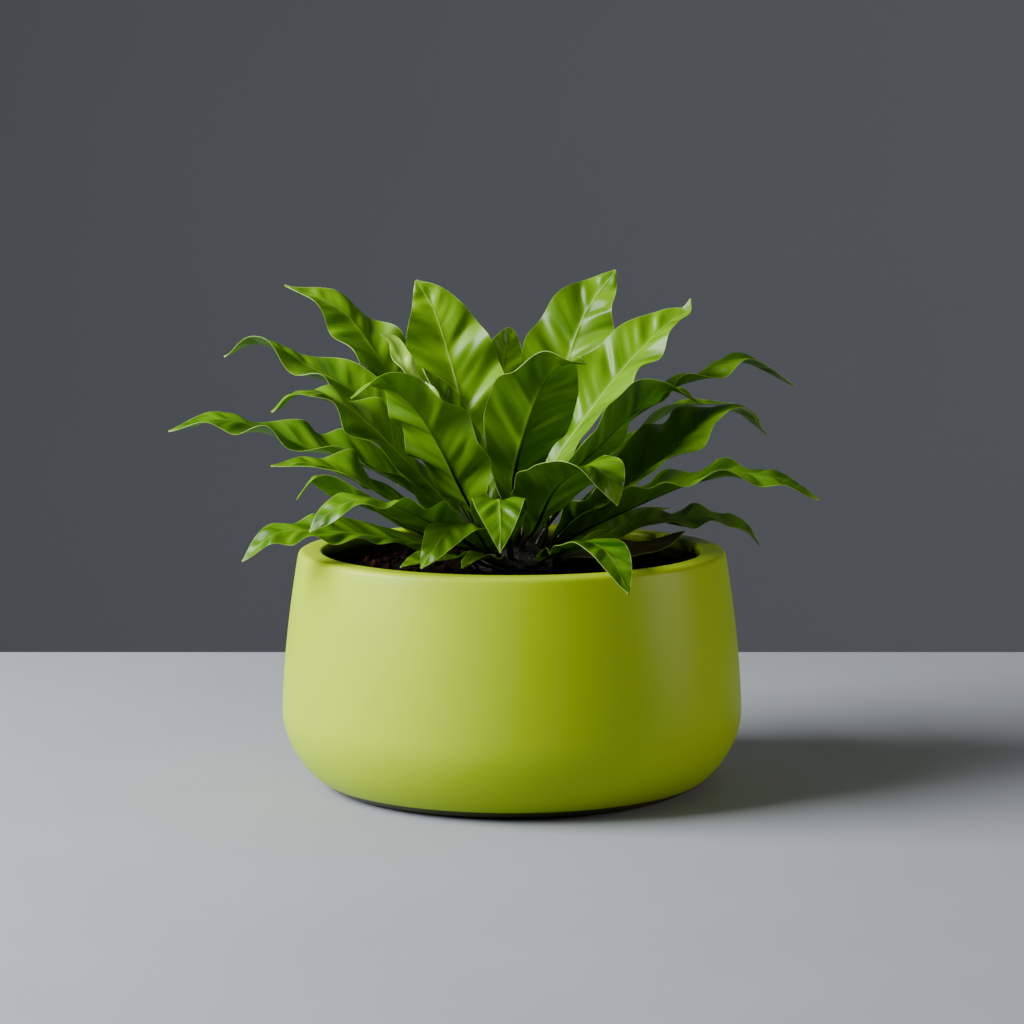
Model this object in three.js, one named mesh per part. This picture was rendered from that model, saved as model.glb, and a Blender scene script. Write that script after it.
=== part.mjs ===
// A wavy-leaved bird's nest fern growing in a wide, low, matt glazed ceramic planter.
// Millimetres, +Z up. The origin is the middle of the planter's flat underside, and the
// front of the plant faces -Y. Every frond is its own solid and stands on the crown.
import * as THREE from "three";

// ---- Driving dimensions, mm ------------------------------------------------------------
const PLANTER_HEIGHT = 149;
const RIM_RADIUS = 134; // outside, at the top
const BELLY_RADIUS = 145; // the widest place
const BELLY_HEIGHT = 47;
const FOOT_RADIUS = 108; // the flat underside
const CORNER_POWER = 1.7; // superellipse between underside and belly: 2 is a true ellipse
const WALL_LEAN_POWER = 1.6; // how late the wall draws in towards the rim
const WALL = 15.5;
const FLOOR = 14;
const FLOOR_RADIUS = 98; // flat part of the floor inside
const RIM_ROUND = 3; // edge of the rim
const FIT_GAP = 0.3; // between pieces that touch

const SOIL_DEPTH = 14; // below the rim, at the wall
const SOIL_LEVEL = PLANTER_HEIGHT - SOIL_DEPTH;
const SOIL_MOUND = 3; // rise towards the plant
const SOIL_BUMP = 1.1;
const SOIL_COVER = 9; // of mix over the root ball
const BUMP_LENGTH = 19; // from one lump of the mix to the next
const BUMP_RINGS = [0.94, 0.82, 0.68, 0.53, 0.37]; // where the lumps are, as shares of the radius

const ROOT_TOP = SOIL_LEVEL - SOIL_COVER;
const ROOT_BOTTOM = 40;
const ROOT_RADIUS_TOP = 66;
const ROOT_RADIUS_BOTTOM = 52;
const ROOT_EDGE = 7; // worn corner of the root ball

const CROWN_RADIUS = 26;
const CROWN_RISE = 15; // height of the dome that carries the fronds
const CROWN_LEVEL = SOIL_LEVEL + 4; // where the dome starts
const CROWN_NECK = 22; // radius where the crown stands on the root ball

const STALK_GAP = 0.4; // from the dome to the end of a frond's midrib
const STALK_LENGTH = 6; // straight out of the dome
const STALK_WIDTH = 4.4;
const STALK_THICK = 2.6;
const RIB_THICK_TIP = 1;
const LEAF_THICK = 0.8;
const TIP_WIDTH = 1.2;

const TURNS = 48; // facets round the planter
const CORNER_STEPS = 6;
const WALL_STEPS = 4;
const ROUND_STEPS = 3;
const DOME_STEPS = 6;
const FROND_STEPS = 18; // along a frond

const rad = THREE.MathUtils.degToRad;

// ---- Finishes --------------------------------------------------------------------------
const finish = (color, roughness) => new THREE.MeshStandardMaterial({ color, roughness, metalness: 0 });
const GLAZE = finish(0xb0c41f, 0.45);
const SOIL = finish(0x2b1d15, 1);
const ROOTS = finish(0x3a281c, 1);
const SCALES = finish(0x2e2114, 0.9);
const LEAF = finish(0x4f8a12, 0.4);
const YOUNG_LEAF = finish(0x9fc832, 0.35);
const OLD_LEAF = finish(0x5d5a1c, 0.7);

// ---- Turned pieces ---------------------------------------------------------------------
// A profile of [radius, height] pairs that starts on the axis, goes round the outside
// upwards, and comes back to the axis.
function turned(profile, turns = TURNS) {
  const outline = profile.map(([radius, height]) => new THREE.Vector2(radius, height));
  return new THREE.LatheGeometry(outline, turns).rotateX(Math.PI / 2);
}

// The curved side of the planter: a superellipse corner from a flat bottom out to the belly,
// and above it a wall that draws in towards the rim. `inset` moves the side inwards.
function cornerHeights(bottom) {
  const heights = [];
  for (let i = 0; i <= CORNER_STEPS; i++) {
    const down = Math.cos((i / CORNER_STEPS) * (Math.PI / 2)) ** (2 / CORNER_POWER);
    heights.push(BELLY_HEIGHT - (BELLY_HEIGHT - bottom) * down);
  }
  return heights;
}

function sideRadius(height, bottom, flatRadius, inset) {
  const belly = BELLY_RADIUS - inset;
  if (height >= BELLY_HEIGHT) {
    const up = (height - BELLY_HEIGHT) / (PLANTER_HEIGHT - BELLY_HEIGHT);
    return belly - (BELLY_RADIUS - RIM_RADIUS) * up ** WALL_LEAN_POWER;
  }
  const down = (BELLY_HEIGHT - height) / (BELLY_HEIGHT - bottom);
  return flatRadius + (belly - flatRadius) * (1 - down ** CORNER_POWER) ** (1 / CORNER_POWER);
}

// The points of that side, from its flat bottom up to a height.
function side(bottom, flatRadius, inset, top) {
  const heights = cornerHeights(bottom);
  for (let i = 1; i <= WALL_STEPS; i++) {
    heights.push(THREE.MathUtils.lerp(BELLY_HEIGHT, top, i / WALL_STEPS));
  }
  return heights.map((height) => [sideRadius(height, bottom, flatRadius, inset), height]);
}

// A quarter round from one angle to another, in degrees, without its first point.
function quarterRound(radius, height, size, from, to) {
  const points = [];
  for (let i = 1; i <= ROUND_STEPS; i++) {
    const angle = rad(THREE.MathUtils.lerp(from, to, i / ROUND_STEPS));
    points.push([radius + size * Math.cos(angle), height + size * Math.sin(angle)]);
  }
  return points;
}

function planter() {
  const round = PLANTER_HEIGHT - RIM_ROUND;
  const outside = side(0, FOOT_RADIUS, 0, round);
  const inside = side(FLOOR, FLOOR_RADIUS, WALL, round);
  const [outerEdge] = outside.at(-1);
  const [innerEdge] = inside.at(-1);
  return turned([
    [0, 0],
    ...outside,
    ...quarterRound(outerEdge - RIM_ROUND, round, RIM_ROUND, 0, 90),
    [innerEdge + RIM_ROUND, PLANTER_HEIGHT],
    ...quarterRound(innerEdge + RIM_ROUND, round, RIM_ROUND, 90, 180),
    ...inside.reverse().slice(1),
    [0, FLOOR],
  ]);
}

// Potting mix fills the hollow from the floor up. It wraps the root ball and leaves a round
// opening for the crown. Its top is lumpy and rises a little towards the plant.
function pottingMix() {
  const bottom = FLOOR + FIT_GAP;
  const opening = CROWN_RADIUS + FIT_GAP;
  const outside = side(bottom, FLOOR_RADIUS - FIT_GAP, WALL + FIT_GAP, SOIL_LEVEL);
  const [wallRadius] = outside.at(-1);
  const top = BUMP_RINGS.map((share) => share * wallRadius);
  const mix = turned([
    [0, bottom],
    ...outside,
    ...top.map((radius) => [radius, SOIL_LEVEL + SOIL_MOUND * (1 - radius / wallRadius)]),
    [opening, SOIL_LEVEL + SOIL_MOUND],
    [opening, ROOT_TOP + FIT_GAP],
    [ROOT_RADIUS_TOP - ROOT_EDGE, ROOT_TOP + FIT_GAP],
    [ROOT_RADIUS_TOP + FIT_GAP, ROOT_TOP - ROOT_EDGE],
    [ROOT_RADIUS_BOTTOM + FIT_GAP, ROOT_BOTTOM + ROOT_EDGE],
    [ROOT_RADIUS_BOTTOM - ROOT_EDGE, ROOT_BOTTOM - FIT_GAP],
    [0, ROOT_BOTTOM - FIT_GAP],
  ]);
  const place = mix.attributes.position;
  const wave = (2 * Math.PI) / BUMP_LENGTH;
  for (let i = 0; i < place.count; i++) {
    const [x, y, z] = [place.getX(i), place.getY(i), place.getZ(i)];
    const radius = Math.hypot(x, y);
    const onRings = radius < wallRadius - FIT_GAP && radius > opening + FIT_GAP;
    if (z < SOIL_LEVEL || !onRings) continue;
    const lump = Math.sin(x * wave) * Math.sin(y * wave + radius / BUMP_LENGTH);
    place.setZ(i, z + SOIL_BUMP * lump);
  }
  mix.computeVertexNormals();
  return mix;
}

function rootBall() {
  return turned([
    [0, ROOT_BOTTOM],
    [ROOT_RADIUS_BOTTOM - ROOT_EDGE, ROOT_BOTTOM],
    [ROOT_RADIUS_BOTTOM, ROOT_BOTTOM + ROOT_EDGE],
    [ROOT_RADIUS_TOP, ROOT_TOP - ROOT_EDGE],
    [ROOT_RADIUS_TOP - ROOT_EDGE, ROOT_TOP],
    [0, ROOT_TOP],
  ]);
}

// The crown is the short upright rhizome: a neck on the root ball under a low dome.
function crown() {
  const profile = [
    [0, ROOT_TOP + FIT_GAP],
    [CROWN_NECK, ROOT_TOP + FIT_GAP],
  ];
  for (let i = 0; i <= DOME_STEPS; i++) {
    const angle = (i / DOME_STEPS) * (Math.PI / 2);
    profile.push([CROWN_RADIUS * Math.cos(angle), CROWN_LEVEL + CROWN_RISE * Math.sin(angle)]);
  }
  return turned(profile, TURNS / 2);
}

// ---- Fronds ----------------------------------------------------------------------------
// Fronds leave the dome in rings, at these angles above its edge, degrees.
const RINGS = { low: 7, outer: 26, middle: 46, inner: 62, heart: 84 };

// A point off the dome, straight out from its surface.
function crownPoint(ring, azimuth, out) {
  const up = rad(RINGS[ring]);
  const turn = rad(azimuth);
  const foot = new THREE.Vector3(
    CROWN_RADIUS * Math.cos(up) * Math.cos(turn),
    CROWN_RADIUS * Math.cos(up) * Math.sin(turn),
    CROWN_RISE * Math.sin(up),
  );
  const outward = new THREE.Vector3(
    foot.x / CROWN_RADIUS ** 2,
    foot.y / CROWN_RADIUS ** 2,
    foot.z / CROWN_RISE ** 2,
  ).normalize();
  foot.z += CROWN_LEVEL;
  return foot.addScaledVector(outward, out);
}

// The blade's outline: 1 at the `widest` place, soft into the stalk, `taper` sets the tip.
function outline(along, widest, taper) {
  if (along < widest) {
    const grown = along / widest;
    return grown * grown * (3 - 2 * grown);
  }
  const past = (along - widest) / (1 - widest);
  return (1 - past * past) ** taper;
}

// The margin goes up and down in waves. `crests` lists each turning point as [percent of the
// frond's length, lift in mm], and a half cosine joins one to the next.
function marginLift(crests, along) {
  const turns = [[0, 0], ...crests, [100, 0]];
  const place = along * 100;
  const next = Math.max(1, turns.findIndex(([percent]) => percent >= place));
  const [fromPercent, fromLift] = turns[next - 1];
  const [toPercent, toLift] = turns[next];
  const part = (place - fromPercent) / (toPercent - fromPercent);
  return fromLift + ((toLift - fromLift) * (1 - Math.cos(Math.PI * part))) / 2;
}

// Three values, at the start, middle and end, joined by one smooth curve.
function blend([start, middle, end], along) {
  const slope = 4 * middle - 3 * start - end;
  const bend = 2 * start - 4 * middle + 2 * end;
  return start + slope * along + bend * along * along;
}

// One frond. Its midrib runs from the dome through the points of `midrib`. Seen from above
// and looking along the frond, `left` and `right` are its two margins. `fold` raises both
// halves from flat, `roll` turns the blade about its midrib, in degrees, and `face` is the
// azimuth that the upper side leans away from, where it isn't the frond's own direction.
function frondGeometry({
  ring, azimuth, width, midrib, left, right, face,
  widest = 0.58, taper = 0.9, fold = 12, roll = [0, 0, 0],
}) {
  const start = crownPoint(ring, azimuth, STALK_GAP);
  const route = [start, crownPoint(ring, azimuth, STALK_GAP + STALK_LENGTH)];
  route.push(...midrib.map((point) => new THREE.Vector3(...point)));
  const curve = new THREE.CatmullRomCurve3(route, false, "centripetal");
  const spine = curve.getSpacedPoints(FROND_STEPS);
  const reach = spine[FROND_STEPS].clone().sub(start);
  const heading = face === undefined ? Math.atan2(reach.y, reach.x) : rad(face);
  const level = new THREE.Vector3(-Math.sin(heading), Math.cos(heading), 0);
  const rise = rad(fold);
  const corners = [];
  spine.forEach((middle, i) => {
    const along = i / FROND_STEPS;
    const before = spine[Math.max(i - 1, 0)];
    const after = spine[Math.min(i + 1, FROND_STEPS)];
    const ahead = after.clone().sub(before).normalize();
    const across = level.clone().addScaledVector(ahead, -level.dot(ahead)).normalize();
    const turn = rad(blend(roll, along));
    across.applyAxisAngle(ahead, turn);
    const up = ahead.clone().cross(across);
    const blade = (width / 2) * outline(along, widest, taper);
    const half = Math.max(blade, THREE.MathUtils.lerp(STALK_WIDTH, TIP_WIDTH, along) / 2);
    const rib = THREE.MathUtils.lerp(STALK_THICK, RIB_THICK_TIP, along) / 2;
    const margin = (way, crests) =>
      middle
        .clone()
        .addScaledVector(across, way * half * Math.cos(rise))
        .addScaledVector(up, half * Math.sin(rise) + marginLift(crests, along));
    const offset = (point, distance) => point.clone().addScaledVector(up, distance);
    const leftEdge = margin(1, left);
    const rightEdge = margin(-1, right);
    corners.push(
      offset(leftEdge, LEAF_THICK / 2),
      offset(leftEdge, -LEAF_THICK / 2),
      offset(middle, -rib),
      offset(rightEdge, -LEAF_THICK / 2),
      offset(rightEdge, LEAF_THICK / 2),
      offset(middle, rib),
    );
  });
  return skinned(corners);
}

// A closed skin with flat ends over the rings of six corners that a frond is made of. Each
// quad is split from the midrib forwards to the margin, above and below alike, so that the
// two faces stay parallel where the blade twists.
const CORNERS = 6;
const MARGIN_FIRST = [1, 4]; // the sides that start on the margin and end on the midrib

function skinned(corners) {
  const faces = [];
  const rings = corners.length / CORNERS;
  for (let ring = 0; ring < rings - 1; ring++) {
    for (let side = 0; side < CORNERS; side++) {
      const a = ring * CORNERS + side;
      const b = ring * CORNERS + ((side + 1) % CORNERS);
      const nextA = a + CORNERS;
      const nextB = b + CORNERS;
      if (MARGIN_FIRST.includes(side)) {
        faces.push(a, nextA, b, b, nextA, nextB);
      } else {
        faces.push(a, nextB, b, a, nextA, nextB);
      }
    }
  }
  // Each flat end is a fan about the midrib's upper corner, the last of its ring.
  const hub = CORNERS - 1;
  const last = (rings - 1) * CORNERS;
  for (let side = 0; side < hub - 1; side++) {
    faces.push(hub, side, side + 1);
    faces.push(last + hub, last + side + 1, last + side);
  }
  const skin = new THREE.BufferGeometry().setFromPoints(corners);
  skin.setIndex(faces);
  skin.computeVertexNormals();
  return skin;
}

// Left and right in the names are the viewer's, from the front.
const FRONDS = [
  {
    name: "left_high",
    ring: "middle", azimuth: 150, width: 44, widest: 0.62, taper: 1.3, roll: [-10, -25, -30],
    midrib: [[-36, 30, 190], [-76, 60, 249], [-110, 74, 294], [-148, 84, 311]],
    left: [[28, -3], [42, 5], [55, -4], [67, 8], [79, -8], [89, 3]],
    right: [[30, -3], [44, 5], [57, -5], [68, 4], [77, -12], [88, 1]],
  },
  {
    name: "left_arching",
    ring: "middle", azimuth: 172, width: 38, roll: [-15, -14, -12],
    midrib: [[-45, 3, 198], [-90, 15, 239], [-131, 28, 263], [-163, 38, 276], [-184, 44, 267]],
    left: [[24, 4], [36, -4], [48, 5], [58, -5], [65, 4], [74, -6], [86, 6]],
    right: [[30, 4], [42, -4], [52, 5], [62, 6], [79, -5], [90, -2]],
  },
  {
    name: "left_ribbed",
    ring: "middle", azimuth: 196, width: 46, roll: [-30, -25, -10],
    midrib: [[-37, -15, 175], [-67, -26, 208], [-103, -36, 242], [-127, -42, 251], [-147, -46, 239]],
    left: [[30, -3], [46, -5], [56, -3], [68, -12], [79, 0], [85, -1], [93, 4]],
    right: [[26, 4], [40, -4], [54, 2], [62, 7], [70, -7], [77, -1], [84, -8]],
  },
  {
    name: "left_long",
    ring: "outer", azimuth: 182, width: 52, widest: 0.5, roll: [-14, -10, -16],
    midrib: [[-45, -8, 173], [-85, -14, 200], [-132, -20, 216], [-176, -22, 232], [-213, -20, 225]],
    left: [[22, -4], [32, 5], [41, 1], [51, 8], [64, -3], [72, 5], [80, -7], [90, 2]],
    right: [[26, 6], [38, 4], [49, 7], [56, -1], [62, 5], [77, -7], [90, 0]],
  },
  {
    name: "left_low",
    ring: "outer", azimuth: 199, width: 40, widest: 0.58, roll: [-6, -29, -10],
    midrib: [[-37, -27, 164], [-65, -43, 180], [-94, -59, 198], [-120, -66, 209], [-146, -67, 208]],
    left: [[30, 2], [46, 5], [60, 3], [72, 4], [84, 1]],
    right: [[30, -4], [46, -4], [60, -8], [70, 7], [81, -4], [93, -1]],
  },
  {
    name: "left_hooked",
    ring: "outer", azimuth: 217, width: 26, widest: 0.7, roll: [0, 8, 25],
    midrib: [[-41, -39, 157], [-71, -58, 174], [-97, -76, 190], [-118, -84, 202], [-129, -88, 190]],
    left: [[32, 5], [48, 3], [60, -1], [84, -2]],
    right: [[40, -2], [60, 1], [76, -3], [86, -3]],
  },
  {
    name: "left_broad",
    ring: "outer", azimuth: 234, width: 38, roll: [4, 0, -15],
    midrib: [[-35, -50, 163], [-66, -89, 185], [-90, -115, 193], [-107, -122, 186], [-119, -125, 175]],
    left: [[30, 6], [37, 5], [46, 8], [57, -2], [67, 2], [75, -6], [83, 1], [92, -2]],
    right: [[28, -6], [44, -8], [57, -7], [72, -4], [84, -1]],
  },
  {
    name: "left_rim",
    ring: "low", azimuth: 206, width: 40, widest: 0.5, roll: [-15, -20, -22],
    midrib: [[-35, -22, 149], [-78, -46, 161], [-111, -62, 167], [-143, -72, 167], [-163, -77, 151]],
    left: [[30, -2], [42, 3], [50, 0], [57, 3], [65, -3], [73, 2], [80, -5], [90, 1]],
    right: [[30, -2], [44, -3], [58, -2], [68, 0], [76, -6], [86, -1]],
  },
  {
    name: "front_leaning",
    ring: "middle", azimuth: 232, width: 56, widest: 0.46, taper: 1, roll: [24, 20, 10],
    midrib: [[-31, -36, 190], [-43, -54, 217], [-61, -70, 246], [-80, -82, 260], [-96, -90, 251]],
    left: [[20, -4], [30, -8], [40, -2], [50, -6], [61, 3], [70, -4], [80, 2]],
    right: [[18, 6], [28, 0], [38, 7], [48, -3], [58, 4], [68, -4], [78, 4], [88, -2]],
  },
  {
    name: "tall_left",
    ring: "inner", azimuth: 126, width: 62, face: 100, widest: 0.6, taper: 0.92, roll: [0, -5, -10],
    midrib: [[-18, 22, 184], [-31, 42, 232], [-42, 54, 271], [-51, 60, 297], [-62, 64, 315]],
    left: [
      [20, 3], [28, -3], [36, 4], [44, -4], [52, 4],
      [60, -4], [68, 4], [76, -4], [84, 4], [93, -2],
    ],
    right: [
      [24, 3], [32, -3], [40, 4], [48, -4], [56, 4],
      [64, -4], [72, 5], [80, -4], [87, 1], [94, 4],
    ],
  },
  {
    name: "tall_middle",
    ring: "inner", azimuth: 92, width: 42, taper: 0.6, roll: [10, 15, 20],
    midrib: [[-4, 50, 188], [-5, 82, 228], [-6, 100, 260], [-1, 108, 282]],
    left: [[30, 2], [45, -2], [60, 2], [75, -2]],
    right: [[35, -2], [50, 2], [65, -2], [80, 2]],
  },
  {
    name: "tall_right",
    ring: "inner", azimuth: 60, width: 60, face: 74, widest: 0.62, taper: 0.9,
    midrib: [[13, 28, 189], [31, 54, 248], [47, 68, 293], [67, 74, 321]],
    left: [
      [20, 3], [28, -3], [36, 4], [44, -4], [52, 4],
      [60, -4], [68, 4], [76, -4], [84, 4], [93, -3],
    ],
    right: [
      [24, 3], [32, -3], [40, 4], [48, -4], [56, 4],
      [64, -5], [72, 1], [80, -5], [88, 4], [95, -2],
    ],
  },
  {
    name: "front_upright",
    ring: "inner", azimuth: 285, width: 55, face: 276, widest: 0.6, taper: 0.85,
    midrib: [[1, -20, 192], [8, -32, 226], [18, -44, 254], [30, -56, 269], [45, -64, 270]],
    left: [[20, 3], [32, -4], [44, 5], [55, -4], [66, -3], [75, -6], [86, 3]],
    right: [[22, -3], [32, 4], [42, -2], [51, 5], [59, 1], [67, 3], [78, -7], [90, 1]],
  },
  {
    name: "right_glossy",
    ring: "inner", azimuth: 26, width: 56, widest: 0.52, taper: 0.95, fold: 20, roll: [15, 22, 22],
    midrib: [[21, 6, 192], [49, 19, 233], [78, 32, 268], [101, 41, 289], [112, 44, 296], [114, 45, 304]],
    left: [[22, 4], [31, -5], [40, 5], [49, -5], [58, 5], [68, -1], [78, 3], [90, 0]],
    right: [[26, -4], [38, 4], [48, 6], [58, -2], [66, 4], [76, -6], [85, 2]],
  },
  {
    name: "right_high",
    ring: "middle", azimuth: 32, width: 42,
    midrib: [[40, 20, 184], [78, 34, 230], [111, 44, 251], [143, 52, 264], [183, 60, 247]],
    left: [[22, 5], [34, -4], [46, 4], [56, -5], [65, -2], [74, -12], [84, 3]],
    right: [[20, 4], [32, -3], [44, 4], [54, -3], [62, 5], [74, -10], [84, 0]],
  },
  {
    name: "right_folded",
    ring: "middle", azimuth: 346, width: 42, widest: 0.5, roll: [-24, -36, -8],
    midrib: [[26, -23, 187], [54, -31, 217], [76, -29, 238], [96, -22, 251], [117, -14, 242]],
    left: [[24, 1], [36, -3], [48, 2], [58, -2], [70, 4], [84, -4], [93, 3]],
    right: [[28, -5], [42, -10], [54, -8], [65, 1], [76, 5], [86, -4]],
  },
  {
    name: "right_under",
    ring: "middle", azimuth: 56, width: 34, roll: [-20, -20, 0],
    midrib: [[37, 42, 177], [73, 68, 208], [110, 84, 231], [145, 94, 233]],
    left: [[30, -4], [50, 4], [70, -4], [86, 2]],
    right: [[30, 4], [50, -4], [70, 4], [86, -2]],
  },
  {
    name: "right_dark",
    ring: "outer", azimuth: 14, width: 56, widest: 0.55, taper: 0.9, roll: [8, 12, 10],
    midrib: [[34, 12, 164], [81, 26, 193], [111, 34, 218], [139, 40, 233], [164, 44, 217]],
    left: [[30, -1], [44, 3], [58, 5], [64, -3], [70, 2], [80, -7], [93, 3]],
    right: [[20, -7], [29, -5], [42, 3], [52, 4], [65, -7], [75, 1], [84, 3]],
  },
  {
    name: "right_long",
    ring: "outer", azimuth: 342, width: 50, widest: 0.44, roll: [-22, 0, 20],
    midrib: [[32, -19, 156], [73, -30, 178], [116, -37, 196], [155, -42, 200], [188, -46, 185]],
    left: [[22, -3], [35, 8], [42, 5], [48, 8], [59, -2], [68, 3], [76, -6], [90, -2]],
    right: [[20, 5], [30, 2], [40, 6], [46, 1], [50, 2], [57, -4], [68, 4], [80, -6], [90, 1]],
  },
  {
    name: "right_low",
    ring: "low", azimuth: 26, width: 34, roll: [10, 10, 10],
    midrib: [[40, 22, 146], [82, 38, 160], [119, 48, 163], [144, 53, 160], [161, 56, 144]],
    left: [[24, 2], [36, -5], [52, 0], [62, -6], [70, 2], [78, -3], [92, 2]],
    right: [[28, -4], [42, 0], [54, 0], [64, -6], [72, -1], [82, -5]],
  },
  {
    name: "right_back",
    ring: "low", azimuth: 52, width: 20, roll: [10, 10, 10],
    midrib: [[41, 46, 145], [72, 74, 154], [92, 90, 162], [104, 97, 163]],
    left: [[30, 2], [50, -2], [70, 2]],
    right: [[30, -2], [50, 2], [70, -2]],
  },
  {
    name: "drooping",
    ring: "low", azimuth: 312, width: 34, widest: 0.58,
    midrib: [[17, -36, 145], [33, -66, 157], [47, -98, 165], [58, -124, 160], [68, -144, 141]],
    left: [[30, 3], [50, -2]],
    right: [[20, 2], [32, 1], [38, -5], [46, -3], [56, -4], [70, 0]],
  },
  {
    name: "front_folded",
    ring: "outer", azimuth: 268, width: 35, widest: 0.5, taper: 1.05, fold: 5,
    midrib: [[-2, -38, 161], [-7, -58, 180], [-8, -72, 188], [-7, -90, 176], [-7, -98, 159]],
    left: [[34, 4], [52, -3], [66, 0]],
    right: [[34, -4], [50, -5], [64, 0]],
  },
  {
    name: "front_left",
    ring: "outer", azimuth: 251, width: 32, widest: 0.6, taper: 0.9, fold: 5,
    midrib: [[-14, -41, 153], [-23, -64, 169], [-34, -83, 174], [-43, -98, 166], [-54, -107, 151]],
    left: [[35, 2], [60, -3]],
    right: [[35, -2], [52, -5], [75, 1]],
  },
  {
    name: "front_right",
    ring: "middle", azimuth: 290, width: 52, widest: 0.52, taper: 0.9,
    midrib: [[14, -34, 165], [25, -56, 191], [39, -76, 206], [53, -92, 208], [63, -100, 188]],
    left: [[20, 3], [34, -3], [50, -5], [64, 4], [77, 1], [90, 0]],
    right: [[26, 4], [37, 6], [43, 3], [49, 6], [58, 2], [70, 1], [84, -1]],
  },
  {
    name: "front_low",
    ring: "low", azimuth: 238, width: 24,
    midrib: [[-21, -32, 145], [-37, -52, 151], [-53, -72, 151], [-67, -86, 149]],
    left: [[40, 2], [60, -2]],
    right: [[40, -2], [60, 2]],
  },
  {
    name: "front_small",
    ring: "low", azimuth: 264, width: 20, widest: 0.6,
    midrib: [[-6, -38, 143], [-13, -56, 150], [-22, -74, 152], [-30, -88, 149]],
    left: [[40, 2], [60, -2], [78, 2]],
    right: [[40, -2], [60, 2], [78, -1]],
  },
  {
    name: "right_tucked",
    ring: "outer", azimuth: 326, width: 24, widest: 0.55, roll: [-20, -20, -10],
    midrib: [[27, -16, 159], [43, -25, 175], [58, -33, 188], [68, -38, 195]],
    left: [[30, 3], [48, -3], [64, 3], [80, -2]],
    right: [[36, -3], [54, 3], [70, -3], [85, 2]],
  },
  {
    name: "young",
    material: YOUNG_LEAF,
    ring: "heart", azimuth: 150, width: 13, face: 118, widest: 0.78, taper: 0.8, fold: 22,
    midrib: [[-26, 2, 196], [-45, 10, 232], [-63, 17, 255], [-71, 21, 268], [-75, 22, 278], [-83, 21, 283]],
    left: [[40, 1], [52, -2], [62, 3], [72, -3], [80, 3], [90, -3]],
    right: [[45, 1], [57, -3], [67, 3], [76, -3], [86, 3]],
  },
  {
    name: "inner_small",
    ring: "inner", azimuth: 160, width: 25, roll: [-10, -10, -10],
    midrib: [[-22, 15, 192], [-33, 27, 224], [-45, 37, 244], [-57, 40, 260]],
    left: [[40, 2], [60, -1], [80, 2]],
    right: [[50, 1], [66, -3], [82, 2]],
  },
  {
    name: "old",
    material: OLD_LEAF,
    ring: "low", azimuth: 358, width: 16, roll: [10, 30, 50],
    midrib: [[34, 4, 143], [62, 10, 146], [91, 18, 148], [110, 23, 157]],
    left: [[50, 2], [70, -2]],
    right: [[50, -2], [70, 2]],
  },
  {
    name: "back_right",
    ring: "middle", azimuth: 76, width: 46,
    midrib: [[15, 60, 182], [25, 98, 210], [25, 134, 224], [31, 164, 219]],
    left: [[30, 4], [42, -4], [54, 5], [66, -5], [78, 4]],
    right: [[24, -4], [36, 4], [48, -5], [60, 5], [72, -4], [84, 3]],
  },
  {
    name: "back_left",
    ring: "middle", azimuth: 106, width: 46,
    midrib: [[-17, 60, 182], [-29, 96, 206], [-32, 132, 216], [-41, 164, 208]],
    left: [[30, 4], [42, -4], [54, 5], [66, -5], [78, 4]],
    right: [[24, -4], [36, 4], [48, -5], [60, 5], [72, -4], [84, 3]],
  },
  {
    name: "back_far_right",
    ring: "outer", azimuth: 62, width: 42,
    midrib: [[25, 58, 170], [45, 98, 186], [62, 126, 195], [77, 150, 187]],
    left: [[30, 4], [44, -4], [58, 4], [72, -4]],
    right: [[24, -4], [38, 4], [52, -4], [66, 4], [80, -3]],
  },
  {
    name: "back_far_left",
    ring: "outer", azimuth: 124, width: 40,
    midrib: [[-23, 58, 170], [-46, 98, 181], [-64, 128, 183], [-77, 152, 172]],
    left: [[30, 4], [44, -4], [58, 4], [72, -4]],
    right: [[24, -4], [38, 4], [52, -4], [66, 4], [80, -3]],
  },
  {
    name: "back_drooping",
    ring: "outer", azimuth: 88, width: 38,
    midrib: [[3, 72, 158], [6, 112, 171], [10, 144, 165], [13, 166, 146]],
    left: [[30, 4], [44, -4], [58, 4], [72, -4]],
    right: [[24, -4], [38, 4], [52, -4], [66, 4], [80, -3]],
  },
  {
    name: "back_low_left",
    ring: "outer", azimuth: 142, width: 32,
    midrib: [[-30, 46, 159], [-53, 77, 164], [-68, 99, 163], [-79, 117, 156]],
    left: [[30, 3], [44, -3], [58, 3], [72, -3]],
    right: [[24, -3], [38, 3], [52, -3], [66, 3], [80, -3]],
  },
  {
    name: "back_low",
    ring: "low", azimuth: 112, width: 32,
    midrib: [[-21, 58, 152], [-33, 94, 158], [-43, 124, 158], [-50, 144, 147]],
    left: [[30, 3], [44, -3], [58, 3], [72, -3]],
    right: [[24, -3], [38, 3], [52, -3], [66, 3], [80, -3]],
  },
];

// ---- The assembly ----------------------------------------------------------------------
const fern = new THREE.Group();

function add(name, geometry, material) {
  const mesh = new THREE.Mesh(geometry, material);
  mesh.name = name;
  fern.add(mesh);
}

add("planter", planter(), GLAZE);
add("potting_mix", pottingMix(), SOIL);
add("root_ball", rootBall(), ROOTS);
add("crown", crown(), SCALES);
for (const { name, material = LEAF, ...shape } of FRONDS) {
  add("frond_" + name, frondGeometry(shape), material);
}

export default fern;
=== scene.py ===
# %% [markdown]
# # A bird's nest fern in a glazed planter
#
# The plant is a wavy-leaved bird's nest fern: a rosette of long, undivided fronds that rise
# from one short crown. The frame that is loaded first is its CAD model, with every piece as
# a coarse solid in its real place, in metres, on a floor at height 0. The front faces -Y.
# The finished pieces are made around those solids, so they need no fitting.
#
# Lengths are written in millimetres where they are real sizes of the plant, and MM turns
# them into Blender's metres.

# %% The frame
import math
import random

import bpy
import numpy as np
from mathutils import Matrix, Vector, noise


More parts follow.
